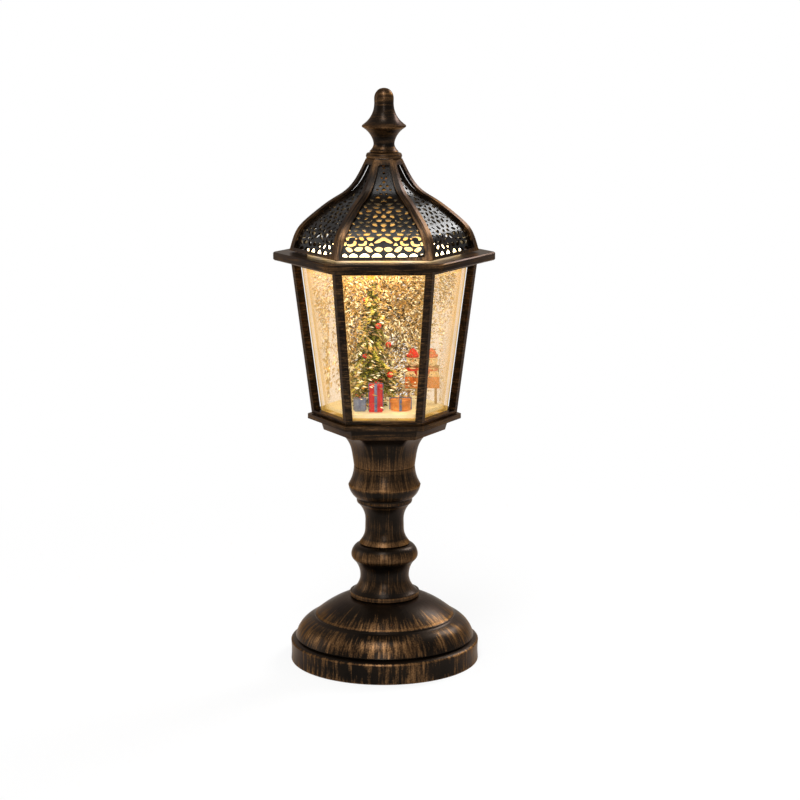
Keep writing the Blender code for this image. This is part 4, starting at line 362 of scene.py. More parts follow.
# One half of a panel: outline, run share, across share, width share, height share, tilt in degrees
PIERCING_SHARES = (
    ("wedge", 0.046, 0.155, 0.235, 0.042, 0), ("wedge", 0.046, 0.435, 0.235, 0.040, 0),
    ("wedge", 0.046, 0.690, 0.205, 0.038, 0), ("wedge", 0.046, 0.890, 0.130, 0.034, 0),
    ("leaf", 0.098, 0.110, 0.190, 0.040, -14), ("leaf", 0.098, 0.345, 0.200, 0.040, 22),
    ("leaf", 0.100, 0.580, 0.200, 0.036, -20), ("leaf", 0.096, 0.800, 0.170, 0.034, 18),
    ("hook", 0.148, 0.500, 0.180, 0.040, 0), ("hook", 0.146, 0.760, 0.200, 0.044, 0),
    ("leaf", 0.142, 0.920, 0.090, 0.034, 60), ("triangle", 0.142, 0.290, 0.120, 0.030, 180),
    ("chevron", 0.182, 0.000, 0.430, 0.056, 0), ("wedge", 0.190, 0.320, 0.180, 0.040, 180),
    ("leaf", 0.194, 0.540, 0.150, 0.034, 35), ("hook", 0.196, 0.800, 0.200, 0.042, 180),
    ("dot", 0.192, 0.668, 0.060, 0.022, 0),
    ("leaf", 0.236, 0.110, 0.150, 0.032, -30), ("leaf", 0.240, 0.420, 0.190, 0.036, -28),
    ("slit", 0.238, 0.640, 0.170, 0.024, 20), ("slit", 0.240, 0.850, 0.150, 0.024, -30),
    ("leaf", 0.276, 0.250, 0.170, 0.036, 30), ("petal", 0.290, 0.000, 0.150, 0.044, 180),
    ("slit", 0.280, 0.520, 0.170, 0.026, 50), ("slit", 0.276, 0.730, 0.150, 0.024, 0),
    ("dot", 0.282, 0.900, 0.070, 0.026, 0),
    ("petal", 0.338, 0.000, 0.200, 0.048, 0), ("petal", 0.344, 0.250, 0.150, 0.050, -35),
    ("slit", 0.330, 0.470, 0.190, 0.024, 15), ("slit", 0.322, 0.720, 0.190, 0.024, -25),
    ("slit", 0.356, 0.880, 0.120, 0.026, 60),
    ("petal", 0.392, 0.155, 0.160, 0.050, 90), ("slit", 0.372, 0.450, 0.180, 0.024, -12),
    ("slit", 0.368, 0.680, 0.180, 0.024, 18), ("dot", 0.392, 0.380, 0.060, 0.022, 0),
    ("petal", 0.442, 0.000, 0.200, 0.048, 180), ("petal", 0.436, 0.290, 0.160, 0.046, 35),
    ("slit", 0.412, 0.560, 0.200, 0.024, -40), ("slit", 0.418, 0.820, 0.150, 0.026, 30),
    ("slit", 0.456, 0.560, 0.220, 0.024, 10), ("leaf", 0.476, 0.820, 0.150, 0.028, 40),
    ("leaf", 0.488, 0.190, 0.230, 0.034, 20), ("petal", 0.516, 0.000, 0.150, 0.032, 0),
    ("leaf", 0.500, 0.560, 0.230, 0.032, -18), ("leaf", 0.540, 0.310, 0.290, 0.032, -8),
    ("leaf", 0.548, 0.740, 0.190, 0.028, 30), ("leaf", 0.584, 0.250, 0.330, 0.028, 12),
    ("slit", 0.592, 0.660, 0.260, 0.024, -12), ("chevron", 0.636, 0.000, 0.420, 0.034, 0),
    ("slit", 0.640, 0.600, 0.260, 0.026, 25), ("triangle", 0.684, 0.360, 0.380, 0.034, 180),
    ("triangle", 0.716, 0.180, 0.230, 0.018, 180), ("petal", 0.752, 0.000, 0.340, 0.024, 0),
    ("dot", 0.752, 0.520, 0.200, 0.018, 0), ("dot", 0.784, 0.300, 0.300, 0.020, 0),
    ("dot", 0.818, 0.000, 0.340, 0.022, 0), ("dot", 0.852, 0.260, 0.260, 0.018, 0),
    ("dot", 0.890, 0.000, 0.340, 0.022, 0), ("dot", 0.936, 0.000, 0.300, 0.022, 0),
)


def cubic(cage, share):
    """A point of a cubic curve from its four cage points."""
    rest = 1 - share
    return (cage[0] * rest ** 3 + cage[1] * (3 * rest ** 2 * share)
            + cage[2] * (3 * rest * share ** 2) + cage[3] * share ** 3)


def ogee():
    """The roof's profile at a corner, as points with the run along it to each."""
    knots = [Vector((radius, DOME_FOOT + DOME_RISE * share))
             for radius, share in zip(DOME_RADII, (0.0, SWEEP_RISE_SHARE, 1.0))]
    pulls = [Vector(pair) * DOME_RISE for pair in OGEE_PULL_SHARES]
    points = [knots[0]]
    for k in range(2):
        cage = (knots[k], knots[k] + pulls[2 * k], knots[k + 1] + pulls[2 * k + 1], knots[k + 1])
        points += [cubic(cage, step / OGEE_STEPS) for step in range(1, OGEE_STEPS + 1)]
    runs = [0.0]
    for point, following in zip(points, points[1:]):
        runs.append(runs[-1] + (following - point).length)
    return points, runs


OGEE_POINTS, OGEE_RUNS = ogee()


def face_point(run, depth):
    """Reach, height and half width of the roof's face at a run, the depth measured inward."""
    run = min(max(run, 0.0), OGEE_RUNS[-1])
    k = max(index for index in range(len(OGEE_RUNS) - 1) if OGEE_RUNS[index] <= run)
    share = (run - OGEE_RUNS[k]) / (OGEE_RUNS[k + 1] - OGEE_RUNS[k])
    point = OGEE_POINTS[k].lerp(OGEE_POINTS[k + 1], share)
    step = OGEE_POINTS[k + 1] - OGEE_POINTS[k]
    out = Vector((step.y, -step.x * APOTHEM)).normalized()
    reach = point.x * APOTHEM - out.x * depth
    return reach, point.y - out.y * depth, reach * math.tan(math.pi / SIDES)


def rounded(points, times=2):
    """The same outline with its corners cut twice, so that it reads as carved."""
    for _ in range(times):
        cut = []
        for here, there in zip(points, points[1:] + points[:1]):
            cut += [here.lerp(there, CORNER_CUT), here.lerp(there, 1 - CORNER_CUT)]
        points = cut
    return points


def piercing_loops(half_at, whole):
    """The outlines of all piercings of one panel, laid flat."""
    loops = []
    for kind, run_share, across_share, width_share, height_share, tilt in PIERCING_SHARES:
        half = half_at(run_share * whole)
        turn = Matrix.Rotation(math.radians(tilt), 2)
        opened = 1 + OPEN_WORK * (1 + 2 * run_share)
        size = Vector((width_share * half, height_share * whole)) / 2 * opened
        centre = Vector((across_share * half, run_share * whole))
        outline = [centre + turn @ Vector((x * size.x, y * size.y))
                   for x, y in PIERCING_OUTLINE_SHARES[kind]]
        carved = rounded(outline)
        loops.append(carved)
        if across_share:
            loops.append([Vector((-point.x, point.y)) for point in reversed(carved)])
    return loops


def flat_sheet(loops, levels):
    """A flat pierced sheet: triangles between its outline, the first loop, and the piercings."""
    places, rings = [], []
    for loop in loops:
        rings.append(list(range(len(places), len(places) + len(loop))))
        places += loop
    for level in levels[1:-1]:
        half = max(point.x for point in loops[0] if abs(point.y - level) < MERGE)
        count = max(2, round(half / SHEET_GRID))
        places += [Vector((half * k / count, level)) for k in range(1 - count, count)]
    found = delaunay_2d_cdt(places, [], rings, 1, MERGE)
    faces = [face for face, sources in zip(found[2], found[5]) if sources == [0]]
    return found[0], faces


def filigree_sheet():
    """One pierced sheet behind the face that looks along -Y."""
    whole = OGEE_RUNS[-1]
    back = PANEL_DEPTH + PANEL_THICKNESS
    levels = [PANEL_DEPTH] + [run for run in OGEE_RUNS if 2 * PANEL_DEPTH < run < whole] + [whole - FIT]

    def half_at(run):
        return face_point(run, back)[2] - 2 * FIT

    outline = [Vector((-half_at(run), run)) for run in reversed(levels)]
    outline += [Vector((half_at(run), run)) for run in levels]
    places, faces = flat_sheet([outline] + piercing_loops(half_at, whole), levels)
    bm = bmesh.new()
    skins = []
    for depth in (PANEL_DEPTH, back):
        raised = [face_point(place.y, depth) for place in places]
        skins.append([bm.verts.new((place.x, -reach, height))
                      for place, (reach, height, _) in zip(places, raised)])
    sides = {pair for face in faces for pair in zip(face, face[1:] + face[:1])}
    for face in faces:
        bm.faces.new([skins[0][k] for k in face])
        bm.faces.new([skins[1][k] for k in reversed(face)])
    for a, b in sorted(sides):
        if (b, a) not in sides:
            bm.faces.new((skins[0][b], skins[0][a], skins[1][a], skins[1][b]))
    loose = [vertex for vertex in bm.verts if not vertex.link_faces]
    bmesh.ops.delete(bm, geom=loose, context="VERTS")
    return bm


# The flared frame's corner radii, and the tank's inner face behind the frame's outer one
FOOT_CORNER_RADIUS = 0.0361
TOP_CORNER_RADIUS = 0.0458
TANK_INSET = 0.0061

# Glitter: the swirl's middle, its eddies' shifts, where the side and the rear water start, how thin
# the crowd is, the water's depth in the middle and at the walls, and the gaps over snow and under lid
SWIRL_CENTRE = Vector((0.0, 0.004, 0.0))
EDDY_SHIFTS = (SWIRL_CENTRE, Vector((9.3, 1.5, 7.9)), Vector((3.7, 8.1, 2.3)))
SIDE_WATER = 0.027
REAR_WATER = 0.009
THIN_WATER = 0.006
OPEN_SHARE = 0.07
MIDDLE_DEPTH = 0.024
LEAST_DEPTH = 0.0018
SNOW_GAP = 0.002
WATER_GAPS = 0.005
FIGURE_BOXES = [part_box(node) for node in
                ("bench", "snowman_left", "snowman_right", "tall_gift", "round_gift", "small_gift")]


def frame_radius(height):
    """The corner radius of the flared window frame's outer face at a height."""
    share = (height - FRAME_FOOT) / (FRAME_TOP - FRAME_FOOT)
    return FOOT_CORNER_RADIUS + (TOP_CORNER_RADIUS - FOOT_CORNER_RADIUS) * share


def inside_tank(point, margin):
    """How far a point lies inside the tank's inner walls, negative where it is outside."""
    reach = frame_radius(point.z) * APOTHEM - TANK_INSET - margin
    gaps = [reach - (point.x * math.cos(turn) + point.y * math.sin(turn))
            for turn in (math.pi / SIDES + math.pi / 3 * side for side in range(SIDES))]
    return min(gaps)


def crowding(place):
    """How likely a flake is to hang at a place: few before the figures, many behind and beside them."""
    reach = frame_radius(place.z) - TANK_INSET / APOTHEM
    chord = 2 * min(reach * APOTHEM, max(reach - abs(place.x), LEAST_DEPTH) * math.tan(math.pi / 3))
    if abs(place.x) > SIDE_WATER:
        return THIN_WATER / chord
    return THIN_WATER / MIDDLE_DEPTH * (1 if place.y > REAR_WATER else OPEN_SHARE)


def glitter(name, count, size, seed, blocked):
    """Flakes that hang in the liquid in loose clouds, turned along the slow swirl of the impeller."""
    draw = random.Random(seed)
    bm = bmesh.new()
    while count:
        height = SNOW_TOP + SNOW_GAP + (TANK_TOP - SNOW_TOP - WATER_GAPS) * draw.random()
        reach = TOP_CORNER_RADIUS
        place = Vector((draw.uniform(-reach, reach), draw.uniform(-reach, reach), height))
        if draw.random() > crowding(place) or inside_tank(place, size / 2) < 0 or blocked(place):
            continue
        eddy = Vector([noise.noise(place * 45 + shift) for shift in EDDY_SHIFTS])
        if noise.noise(place * 60 + Vector((0, 0, seed))) < draw.uniform(-1.0, 0.3):
            continue
        about = place - SWIRL_CENTRE
        along = Vector((-about.y, about.x, -0.012)).normalized() + eddy * 1.1
        along.normalize()
        side = along.cross(Vector((draw.gauss(0, 1), draw.gauss(0, 1), draw.gauss(0, 1)))).normalized()
        length = size * draw.uniform(0.45, 1.0)
        width = size * draw.uniform(0.15, 0.33)
        lift = along.cross(side) * width * 0.3
        corners = [place - along * length / 2, place + side * width / 2 + lift,
                   place + along * length / 2, place - side * width / 2 + lift]
        bm.faces.new([bm.verts.new(corner) for corner in corners])
        count -= 1
    return piece_from(bm, name)


def metal_flake(name, colour, glow, gloss):
    """Foil glitter: bright metal with a little of the lamp's light in it."""
    f = Finish(name)
    shade = f.noise(f.place(), 1300.0, 1.0)
    paint = f.mix(shade.clamped(0.35, 0.65), tuple(value * 0.6 for value in colour), tuple(colour))
    return f.surface(
        base_color=paint, metallic=0.4, roughness=gloss, emission_color=paint, emission_strength=glow,
    )


def painted(name, low, high, scale, roughness, glow=0.0, coat=0.0):
    """Hand-painted resin: two tones in soft patches over a fine grain, and a glow that is painted light:
    emission from a part that is no lamp.
    """
    f = Finish(name)
    patch = f.noise(f.place(), scale, 4.0, 0.6)
    grain = f.noise(f.place(), scale * 5, 2.0)
    paint = f.mix(patch.clamped(0.35, 0.65), tuple(low), tuple(high))
    return f.surface(
        base_color=paint, roughness=roughness + (grain - 0.5) * 0.2,
        normal=f.bump(patch * 0.6 + grain * 0.4, 0.4, GRAIN_DEPTH),
        emission_color=paint, emission_strength=glow, coat_weight=coat, coat_roughness=0.2,
    )


def clear_wall(name, tint, cover, glow):
    """Clear plastic with some of the lamp's glow, most of it edge on and where two walls meet."""
    f = Finish(name)
    edge = f.node("ShaderNodeLayerWeight", inputs={"Blend": 0.5}, output="Facing")
    x, y, _ = f.split(f.place())
    corner = (y.math("ARCTAN2", x) * (SIDES / 2)).math("COSINE").math("ABSOLUTE").clamped(0.8, 1.0)
    haze = f.noise(f.place(), 90.0, 3.0, 0.55)
    paint = f.mix(haze.clamped(0.3, 0.7), tuple(value * 0.82 for value in tint), tuple(tint))
    wave = f.noise(f.place(), 120.0, 2.0)
    veil = cover * (0.6 + haze * 0.8) + edge * edge * 0.75 + corner * edge * 0.5
    return f.surface(
        base_color=paint, roughness=0.06, ior=1.49, alpha=veil,
        normal=f.bump(wave, 0.08, 0.0004), emission_color=paint, emission_strength=glow,
    )


def lathe(bm, points, centre, steps=24):
    """A turned body about an upright axis, closed where its outline meets that axis."""
    rings = []
    for radius, height in points:
        if radius <= 0:
            rings.append([bm.verts.new(centre + Vector((0, 0, height)))])
            continue
        turns = [2 * math.pi * k / steps for k in range(steps)]
        places = [Vector((radius * math.cos(turn), radius * math.sin(turn), height)) for turn in turns]
        rings.append([bm.verts.new(centre + place) for place in places])
    for low, high in zip(rings, rings[1:]):
        for k in range(steps):
            corners = [low[k % len(low)], low[(k + 1) % len(low)],
                       high[(k + 1) % len(high)], high[k % len(high)]]
            unique = [corner for index, corner in enumerate(corners) if corner not in corners[:index]]
            if len(unique) > 2:
                face = bm.faces.new(unique)
                face.smooth = True


def ball(bm, centre, radius, steps):
    """A ball drawn as a turned half circle."""
    half = steps // 2
    outline = [(radius * math.sin(math.pi * k / half) if 0 < k < half else 0.0,
                -radius * math.cos(math.pi * k / half)) for k in range(half + 1)]
    lathe(bm, outline, centre, steps)


def block(bm, low, high, edge):
    """A block with softened edges."""
    made = bmesh.ops.create_cube(bm, size=1.0)["verts"]
    for vertex in made:
        vertex.co = vertex.co * (high - low) + (low + high) / 2
    edges = list({link for vertex in made for link in vertex.link_edges})
    bmesh.ops.bevel(bm, geom=edges, offset=edge, segments=2, profile=0.5, affect="EDGES")


def middle(node):
    """The middle of a frame node's box, at its foot."""
    low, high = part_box(node)
    return Vector(((low.x + high.x) / 2, (low.y + high.y) / 2, low.z))


# The tree: its lowest tier over the box's foot, its taper, and the turn from tier to tier
TREE_FOOT = 0.0052
TREE_TAPER = 0.85
TIER_TURN = 0.7


def needle_frond(bm, root, tip, needle, draw):
    """A drooping frond: needles along both sides of a thin run, and along its top."""
    run = tip - root
    side = run.cross(Vector((0, 0, 1))).normalized()
    lift = side.cross(run).normalized()
    count = max(4, round(run.length / needle * 3.2))
    for k in range(count):
        share = (k + 0.5) / count
        place = root + run * share + Vector((0, 0, -1)) * share * share * run.length * 0.16
        for hand in (-1, 1, 0):
            lean = Vector((draw.gauss(0, 0.25), draw.gauss(0, 0.25), draw.gauss(0, 0.25)))
            aim = (run.normalized() * 0.75 + side * hand * 0.9 + lift * (0.55 if hand == 0 else 0.1) + lean)
            aim.normalize()
            reach = needle * draw.uniform(0.7, 1.15) * (1 - 0.35 * share)
            across = aim.cross(lift + lean).normalized() * needle * 0.13
            corners = (place - across, place + aim * reach * 0.55 - across, place + aim * reach,
                       place + aim * reach * 0.55 + across, place + across)
            bm.faces.new([bm.verts.new(corner) for corner in corners])


def tree_foliage(sizes, tone, seed, share_kept):
    """Tiers of fronds that follow the frame's tree, one tone of them at a time."""
    low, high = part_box("tree")
    axis = middle("tree")
    foot = low.z + TREE_FOOT
    spread = (high.x - low.x) / 2
    draw = random.Random(seed)
    bm = bmesh.new()
    for tier in range(sizes.tree_tiers):
        rise = tier / sizes.tree_tiers
        level = foot + (high.z - foot) * rise
        reach = spread * (1 - rise) ** TREE_TAPER + 0.0012
        count = max(7, round(17 * (1 - rise * 0.6)))
        for k in range(count):
            if draw.random() > share_kept:
                continue
            turn = 2 * math.pi * (k + draw.uniform(-0.3, 0.3)) / count + tier * TIER_TURN
            out = Vector((math.cos(turn), math.sin(turn), 0))
            root = Vector((axis.x, axis.y, level + 0.0035)) + out * reach * 0.1
            droop = Vector((axis.x, axis.y, level - 0.0008 - reach * 0.06))
            tip = droop + out * reach * draw.uniform(0.8, 0.98)
            needle_frond(bm, root, tip, sizes.needle * (1 - 0.35 * rise), draw)
    return piece_from(bm, "tree_" + tone)


# A five-pointed star's height over its radius, and the radius of its inner corners as a share
STAR_HEIGHT_SHARE = 1.809
STAR_WAIST_SHARE = 0.45


def star_mesh():
    """A faceted five-pointed star over the tree's star."""
    low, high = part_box("tree_star")
    centre = (low + high) / 2
    radius = (high.z - low.z) / STAR_HEIGHT_SHARE
    centre.z = high.z - radius
    bm = bmesh.new()
    ring = []
    for k in range(10):
        turn = math.pi * k / 5
        reach = radius * (1.0 if k % 2 == 0 else STAR_WAIST_SHARE)
        ring.append(bm.verts.new(centre + Vector((math.sin(turn) * reach, 0, math.cos(turn) * reach))))
    for face_side in (-1, 1):
        peak = bm.verts.new(centre + Vector((0, face_side * (high[1] - low[1]) / 2, 0)))
        for k in range(10):
            bm.faces.new((ring[k], ring[(k + 1) % 10], peak))
    bmesh.ops.recalc_face_normals(bm, faces=bm.faces[:])
    return piece_from(bm, "star_foil")


def ribbon_round(bm, low, high, width, lift):
    """Two ribbons crossed over a parcel, each a thin band that wraps it."""
    centre = (low + high) / 2
    for axis in (0, 1):
        start = low + Vector((-lift, -lift, lift))
        end = high + Vector((lift, lift, lift))
        start[axis] = centre[axis] - width / 2
        end[axis] = centre[axis] + width / 2
        block(bm, start, end, lift * 0.6)


def bow(bm, centre, size):
    """Two loops and a knot of ribbon."""
    for hand in (-1, 1):
        steps = 10
        inner = []
        for k in range(steps + 1):
            turn = 2 * math.pi * k / steps
            x = hand * size * (0.5 - 0.5 * math.cos(turn))
            z = size * 0.42 * math.sin(turn) + abs(x) * 0.35
            inner.append([bm.verts.new(centre + Vector((x, y, z + size * 0.1)))
                          for y in (-size * 0.22, size * 0.22)])
        for here, there in zip(inner, inner[1:]):
            face = bm.faces.new((here[0], there[0], there[1], here[1]))
            face.smooth = True
    ball(bm, centre + Vector((0, 0, size * 0.12)), size * 0.2, 8)


def parcel(name):
    """A wrapped box in the place of a frame parcel."""
    low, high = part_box(name)
    bm = bmesh.new()
    top = high.z - (high.x - low.x) * 0.16
    block(bm, low + Vector((0.0002, 0.0002, 0)), Vector((high.x - 0.0002, high.y - 0.0002, top)), 0.0003)
    return piece_from(bm, name + "_wrap"), low, Vector((high.x, high.y, top))


# Knitted hat: shares of the head's radius and heights
HAT_OUTLINE = ((0.93, 0), (1.02, 0.0004), (0.98, 0.0012), (0.8, 0.0014), (0.66, 0.0026), (0.36, 0.0038),
               (0.1, 0.0044), (0, 0.0045))
HAT_ROOM = 0.0048
HEAD_RADIUS = 0.0032
SCARF_RADIUS = 0.0006
EYE_RADIUS = 0.00028
BUTTON_RADIUS = 0.00034


def snowman(name, hand):
    """A seated snowman: two snowballs with a knitted hat, scarf, buttons, arms and nose."""
    low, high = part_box(name)
    centre = middle(name) * Vector((1, 1, 0))
    body, head = (high.x - low.x) / 2, HEAD_RADIUS
    waist = low.z + body * 0.88
    crown = high.z - HAT_ROOM
    face_height = crown - head * 0.45
    snow = bmesh.new()
    ball(snow, centre + Vector((0, 0, waist)), body, 24)
    ball(snow, centre + Vector((0, 0, face_height)), head, 24)
    for side in (-1, 1):
        arm = Vector((side * body * 0.72, -body * 0.45, waist + body * 0.2))
        ball(snow, centre + arm, body * 0.3, 12)
    wool = bmesh.new()
    lathe(wool, [(head * share, height) for share, height in HAT_OUTLINE], centre + Vector((0, 0, crown)))
    turns = [2 * math.pi * k / 8 for k in range(9)]
    scarf = [(head * 0.82 + SCARF_RADIUS * math.cos(turn), SCARF_RADIUS * math.sin(turn)) for turn in turns]
    lathe(wool, scarf, centre + Vector((0, 0, waist + body * 0.82)))
    tail = centre + Vector((hand * head * 0.45, -head * 0.86, waist + body * 0.78))
    block(wool, tail + Vector((-0.0006, -0.0006, -0.0030)), tail + Vector((0.0006, 0.0002, 0)), 0.0002)
    detail = bmesh.new()
    for side in (-1, 1):
        eye = Vector((side * head * 0.35, -head * 0.92, face_height + head * 0.2))
        ball(detail, centre + eye, EYE_RADIUS, 8)
    for k in range(2):
        button = Vector((0, -body * 0.97, waist + body * (0.30 - 0.34 * k)))
        ball(detail, centre + button, BUTTON_RADIUS, 8)
    nose = bmesh.new()
    tip = Matrix.Translation(centre + Vector((0, -head * 1.2, face_height)))
    bmesh.ops.create_cone(
        nose, cap_ends=True, segments=10, radius1=0.0005, radius2=0.00008, depth=0.0015,
        matrix=tip @ Matrix.Rotation(math.pi / 2, 4, "X"),
    )
    return [piece_from(part, f"{name}_{word}") for part, word in
            ((snow, "snow"), (wool, "wool"), (detail, "coal"), (nose, "nose"))]


def colour_value(label, words, value):
    return FloatVectorProperty(
        name=label, description=words, default=value, subtype="COLOR", size=3, min=0.0, max=1.0,
    )


def length_value(label, words, value):
    return FloatProperty(name=label, description=words, default=value, unit="LENGTH", min=0.0, precision=5)


def power_value(label, words, value):
    return FloatProperty(name=label, description=words, default=value, unit="POWER", min=0.0)


class LanternColours(bpy.types.PropertyGroup):
    # Dark paint shows in the hollows partly as painted shade; copper shows on ridges partly as painted
    # highlight
    dark: colour_value("Dark paint", "Paint in the hollows", (0.0030, 0.0021, 0.0015))
    deep: colour_value("Deep brown", "Paint on flat stretches", (0.0100, 0.0060, 0.0034))
    copper: colour_value("Copper", "Copper rubbed on ridges", (0.054, 0.0255, 0.0100))
    bright: colour_value("Bright copper", "Best lit strokes of copper", (0.215, 0.112, 0.046))
    glow: colour_value("Glow", "Light of the lamp in the liquid", (1.0, 0.72, 0.30))
    snow: colour_value("Snow", "Snow in the lamp's light", (1.0, 0.86, 0.50))


class LanternSizes(bpy.types.PropertyGroup):
    flake: length_value("Flake", "Longest glitter flake", 0.0031)
    needle: length_value("Needle", "Length of a fir needle", 0.0027)
    tree_tiers: IntProperty(name="Tree tiers", description="Tiers of fronds", default=13, min=3)
    flakes: IntProperty(name="Flakes", description="Glitter flakes of each kind", default=4200, min=10)


class LanternStage(bpy.types.PropertyGroup):
    floor_size: length_value("Floor", "Width of the floor", 6.0)
    key_power: power_value("Key", "Power of the key lamp", 6.5)
    front_power: power_value("Front", "Power of the front lamp", 5.0)
    right_power: power_value("Right", "Power of the lamp behind on the right", 6.0)
    left_power: power_value("Left", "Power of the lamp on the left", 2.0)


class LanternOperator:
    """What every step of the lantern has in common."""

    bl_options = {"REGISTER", "UNDO"}

    def execute(self, context):
        self.make(context.scene.lantern_colours, context.scene.lantern_sizes)
        return {"FINISHED"}


# Share of the white that metal and glass show, the plain light's strength, the floor's paint,
# how white the floor is seen by the foot, and where it fades to full white
MIRRORED_WHITE = 0.25
PLAIN_LIGHT = 0.38
FLOOR_PAINT = (0.86, 0.86, 0.86)
NEAR_WHITE = 0.8
FLOOR_FADE = (0.12, 0.4)


class LANTERN_OT_stage(bpy.types.Operator):
    """Pale floor, soft studio lamps, white surroundings and the photograph's camera"""

    bl_idname = "lantern.stage"
    bl_label = "Stage"

    def execute(self, context):
        values = context.scene.lantern_stage
        self.floor(values.floor_size)
        self.surroundings(context.scene)
        self.lamp("key_lamp", (-0.10, -0.45, 1.05), (0, 0, 0.10), (0.26, 0.6), values.key_power)
        self.lamp("front_lamp", (-0.04, -1.15, 0.60), (0, 0, 0.12), (0.26, 0.6), values.front_power)
        self.lamp("right_lamp", (0.62, 0.62, 0.75), (0, 0, 0.22), (0.25, 0.4), values.right_power)
        self.lamp("left_lamp", (-1.0, 0.2, 0.4), (0, 0, 0.15), (0.6, 0.6), values.left_power)
        self.camera(context.scene)
        context.scene.view_settings.view_transform = "Standard"
        return {"FINISHED"}

    def white_seen(self, f):
        """1 for what a viewer or a clear wall sees, less for a mirror, 0 for the light on things."""
        path = f.node("ShaderNodeLightPath").socket.node
        camera, gloss, clear = (Link(f, path.outputs[f"Is {kind} Ray"])
                                for kind in ("Camera", "Glossy", "Transmission"))
        return camera.math("MAXIMUM", clear).math("MAXIMUM", gloss * MIRRORED_WHITE)

    def floor(self, size):
        bm = bmesh.new()
        bmesh.ops.create_grid(bm, x_segments=4, y_segments=4, size=size / 2)
        floor = piece_from(bm, "floor")
        floor.location.z = -FIT
        f = Finish("pale_floor")
        matt = {"Base Color": (*FLOOR_PAINT, 1), "Roughness": 0.9}
        paint = f.node("ShaderNodeBsdfPrincipled", inputs=matt)
        white = f.node("ShaderNodeEmission", inputs={"Color": (1, 1, 1, 1), "Strength": 1.0})
        x, y, _ = f.split(f.place())
        far = ((x * x + y * y) ** 0.5).clamped(*FLOOR_FADE)
        seen = self.white_seen(f) * (NEAR_WHITE + far * (1 - NEAR_WHITE))
        mixed = f.node("ShaderNodeMixShader", inputs={0: seen, 1: paint, 2: white})
        floor.data.materials.append(f.end(mixed))

    def surroundings(self, scene):
        """Plain light all round, and a white background wherever it is seen."""
        scene.world = bpy.data.worlds.new("studio")
        f = Finish("studio", scene.world)
        strength = self.white_seen(f) * (1 - PLAIN_LIGHT) + PLAIN_LIGHT
        white = f.node("ShaderNodeBackground", inputs={"Color": (1, 1, 1, 1), "Strength": strength})
        f.end(white, "ShaderNodeOutputWorld")

    def lamp(self, name, place, target, size, power):
        data = bpy.data.lights.new(name, "AREA")
        data.shape = "RECTANGLE"
        data.size, data.size_y = size
        data.energy = power
        lamp = bpy.data.objects.new(name, data)
        lamp.location = place
        lamp.rotation_euler = (Vector(target) - Vector(place)).to_track_quat("-Z", "Y").to_euler()
        bpy.context.scene.collection.objects.link(lamp)

    def camera(self, scene):
        data = bpy.data.cameras.new("camera")
        data.lens = LENS
        camera = bpy.data.objects.new("camera", data)
        camera.location = EYE
        camera.rotation_euler = (math.pi / 2 - PITCH, 0, 0)
        scene.collection.objects.link(camera)
        scene.camera = camera


class LANTERN_OT_base(LanternOperator, bpy.types.Operator):
    """The turned base, with copper brushed down its steps, partly wear and partly painted highlight, and
    painted shade in its grooves
    """

    bl_idname = "lantern.base"
    bl_label = "Base"

    def make(self, colours, sizes):
        finish = antique_bronze("base_bronze", colours, "down", 26.0, 60.0, -0.13, 1.2, BASE_WEAR_AND_LIGHT_BANDS)
        dress_node("base_shell", finish)


class LANTERN_OT_column(LanternOperator, bpy.types.Operator):
    """The turned column and the cup that spreads to six sides"""

    bl_idname = "lantern.column"
    bl_label = "Column"

    def make(self, colours, sizes):
        finish = antique_bronze("column_bronze", colours, "down", 22.0, 60.0, -0.05, 0.5, COLUMN_WEAR_AND_LIGHT_BANDS)
        for node in ("column_foot", "column_spool", "column_bulb", "neck_cup"):
            dress_node(node, finish)


class LANTERN_OT_window_frame(LanternOperator, bpy.types.Operator):
    """The sill, the flared window frame and the roof's plate"""

    bl_idname = "lantern.window_frame"
    bl_label = "Window frame"

    def make(self, colours, sizes):
        posts = antique_bronze("post_bronze", colours, "round", 2200.0, 200.0, 0.06, 0.6)
        coat("window_frame", posts)
        edges = antique_bronze("edge_bronze", colours, "round", 1200.0, 60.0, -0.17, 0.5)
        for node in ("sill", "roof_plate"):
            dress_node(node, edges, 0)


class LANTERN_OT_roof(LanternOperator, bpy.types.Operator):
    """The ogee ribs, the six pierced panels behind them and the collar"""

    bl_idname = "lantern.roof"
    bl_label = "Roof"

    def make(self, colours, sizes):
        ribs = antique_bronze("rib_bronze", colours, "down", 60.0, 70.0, -0.07, 0.5)
        dress_node("dome_frame", ribs)
        lacquer = self.lacquer("filigree_lacquer", colours)
        first = piece_from(filigree_sheet(), "filigree_sheet_1")
        for side in range(SIDES):
            sheet = first
            if side:
                sheet = bpy.data.objects.new(f"filigree_sheet_{side + 1}", first.data.copy())
                bpy.context.scene.collection.objects.link(sheet)
                sheet.data.transform(Matrix.Rotation(math.pi / 3 * side, 4, "Z"))
            dress(sheet, lacquer, nodes=[f"filigree_panel_{side + 1}"])
        collar = antique_bronze("collar_bronze", colours, "round", 900.0, 60.0, 0.0, 0.5)
        dress_node("crown_collar", collar)

    def lacquer(self, name, colours):
        """Glossy black over the pierced panels, with a trace of brown where it is thin."""
        f = Finish(name)
        cloud = f.noise(f.place(), 160.0, 3.0, 0.6)
        grain = f.noise(f.place(), 1200.0, 2.0)
        paint = f.mix(cloud.clamped(0.4, 0.7), tuple(colours.dark), tuple(colours.deep))
        return f.surface(
            base_color=paint, roughness=0.20 + cloud * 0.10, specular_ior_level=0.12,
            normal=f.bump(cloud * 0.5 + grain * 0.5, 0.6, GRAIN_DEPTH),
        )


class LANTERN_OT_finial(LanternOperator, bpy.types.Operator):
    """The turned finial over the roof"""

    bl_idname = "lantern.finial"
    bl_label = "Finial"

    def make(self, colours, sizes):
        finish = antique_bronze("finial_bronze", colours, "round", 700.0, 60.0, 0.06, 0.6)
        dress_node("finial", finish)


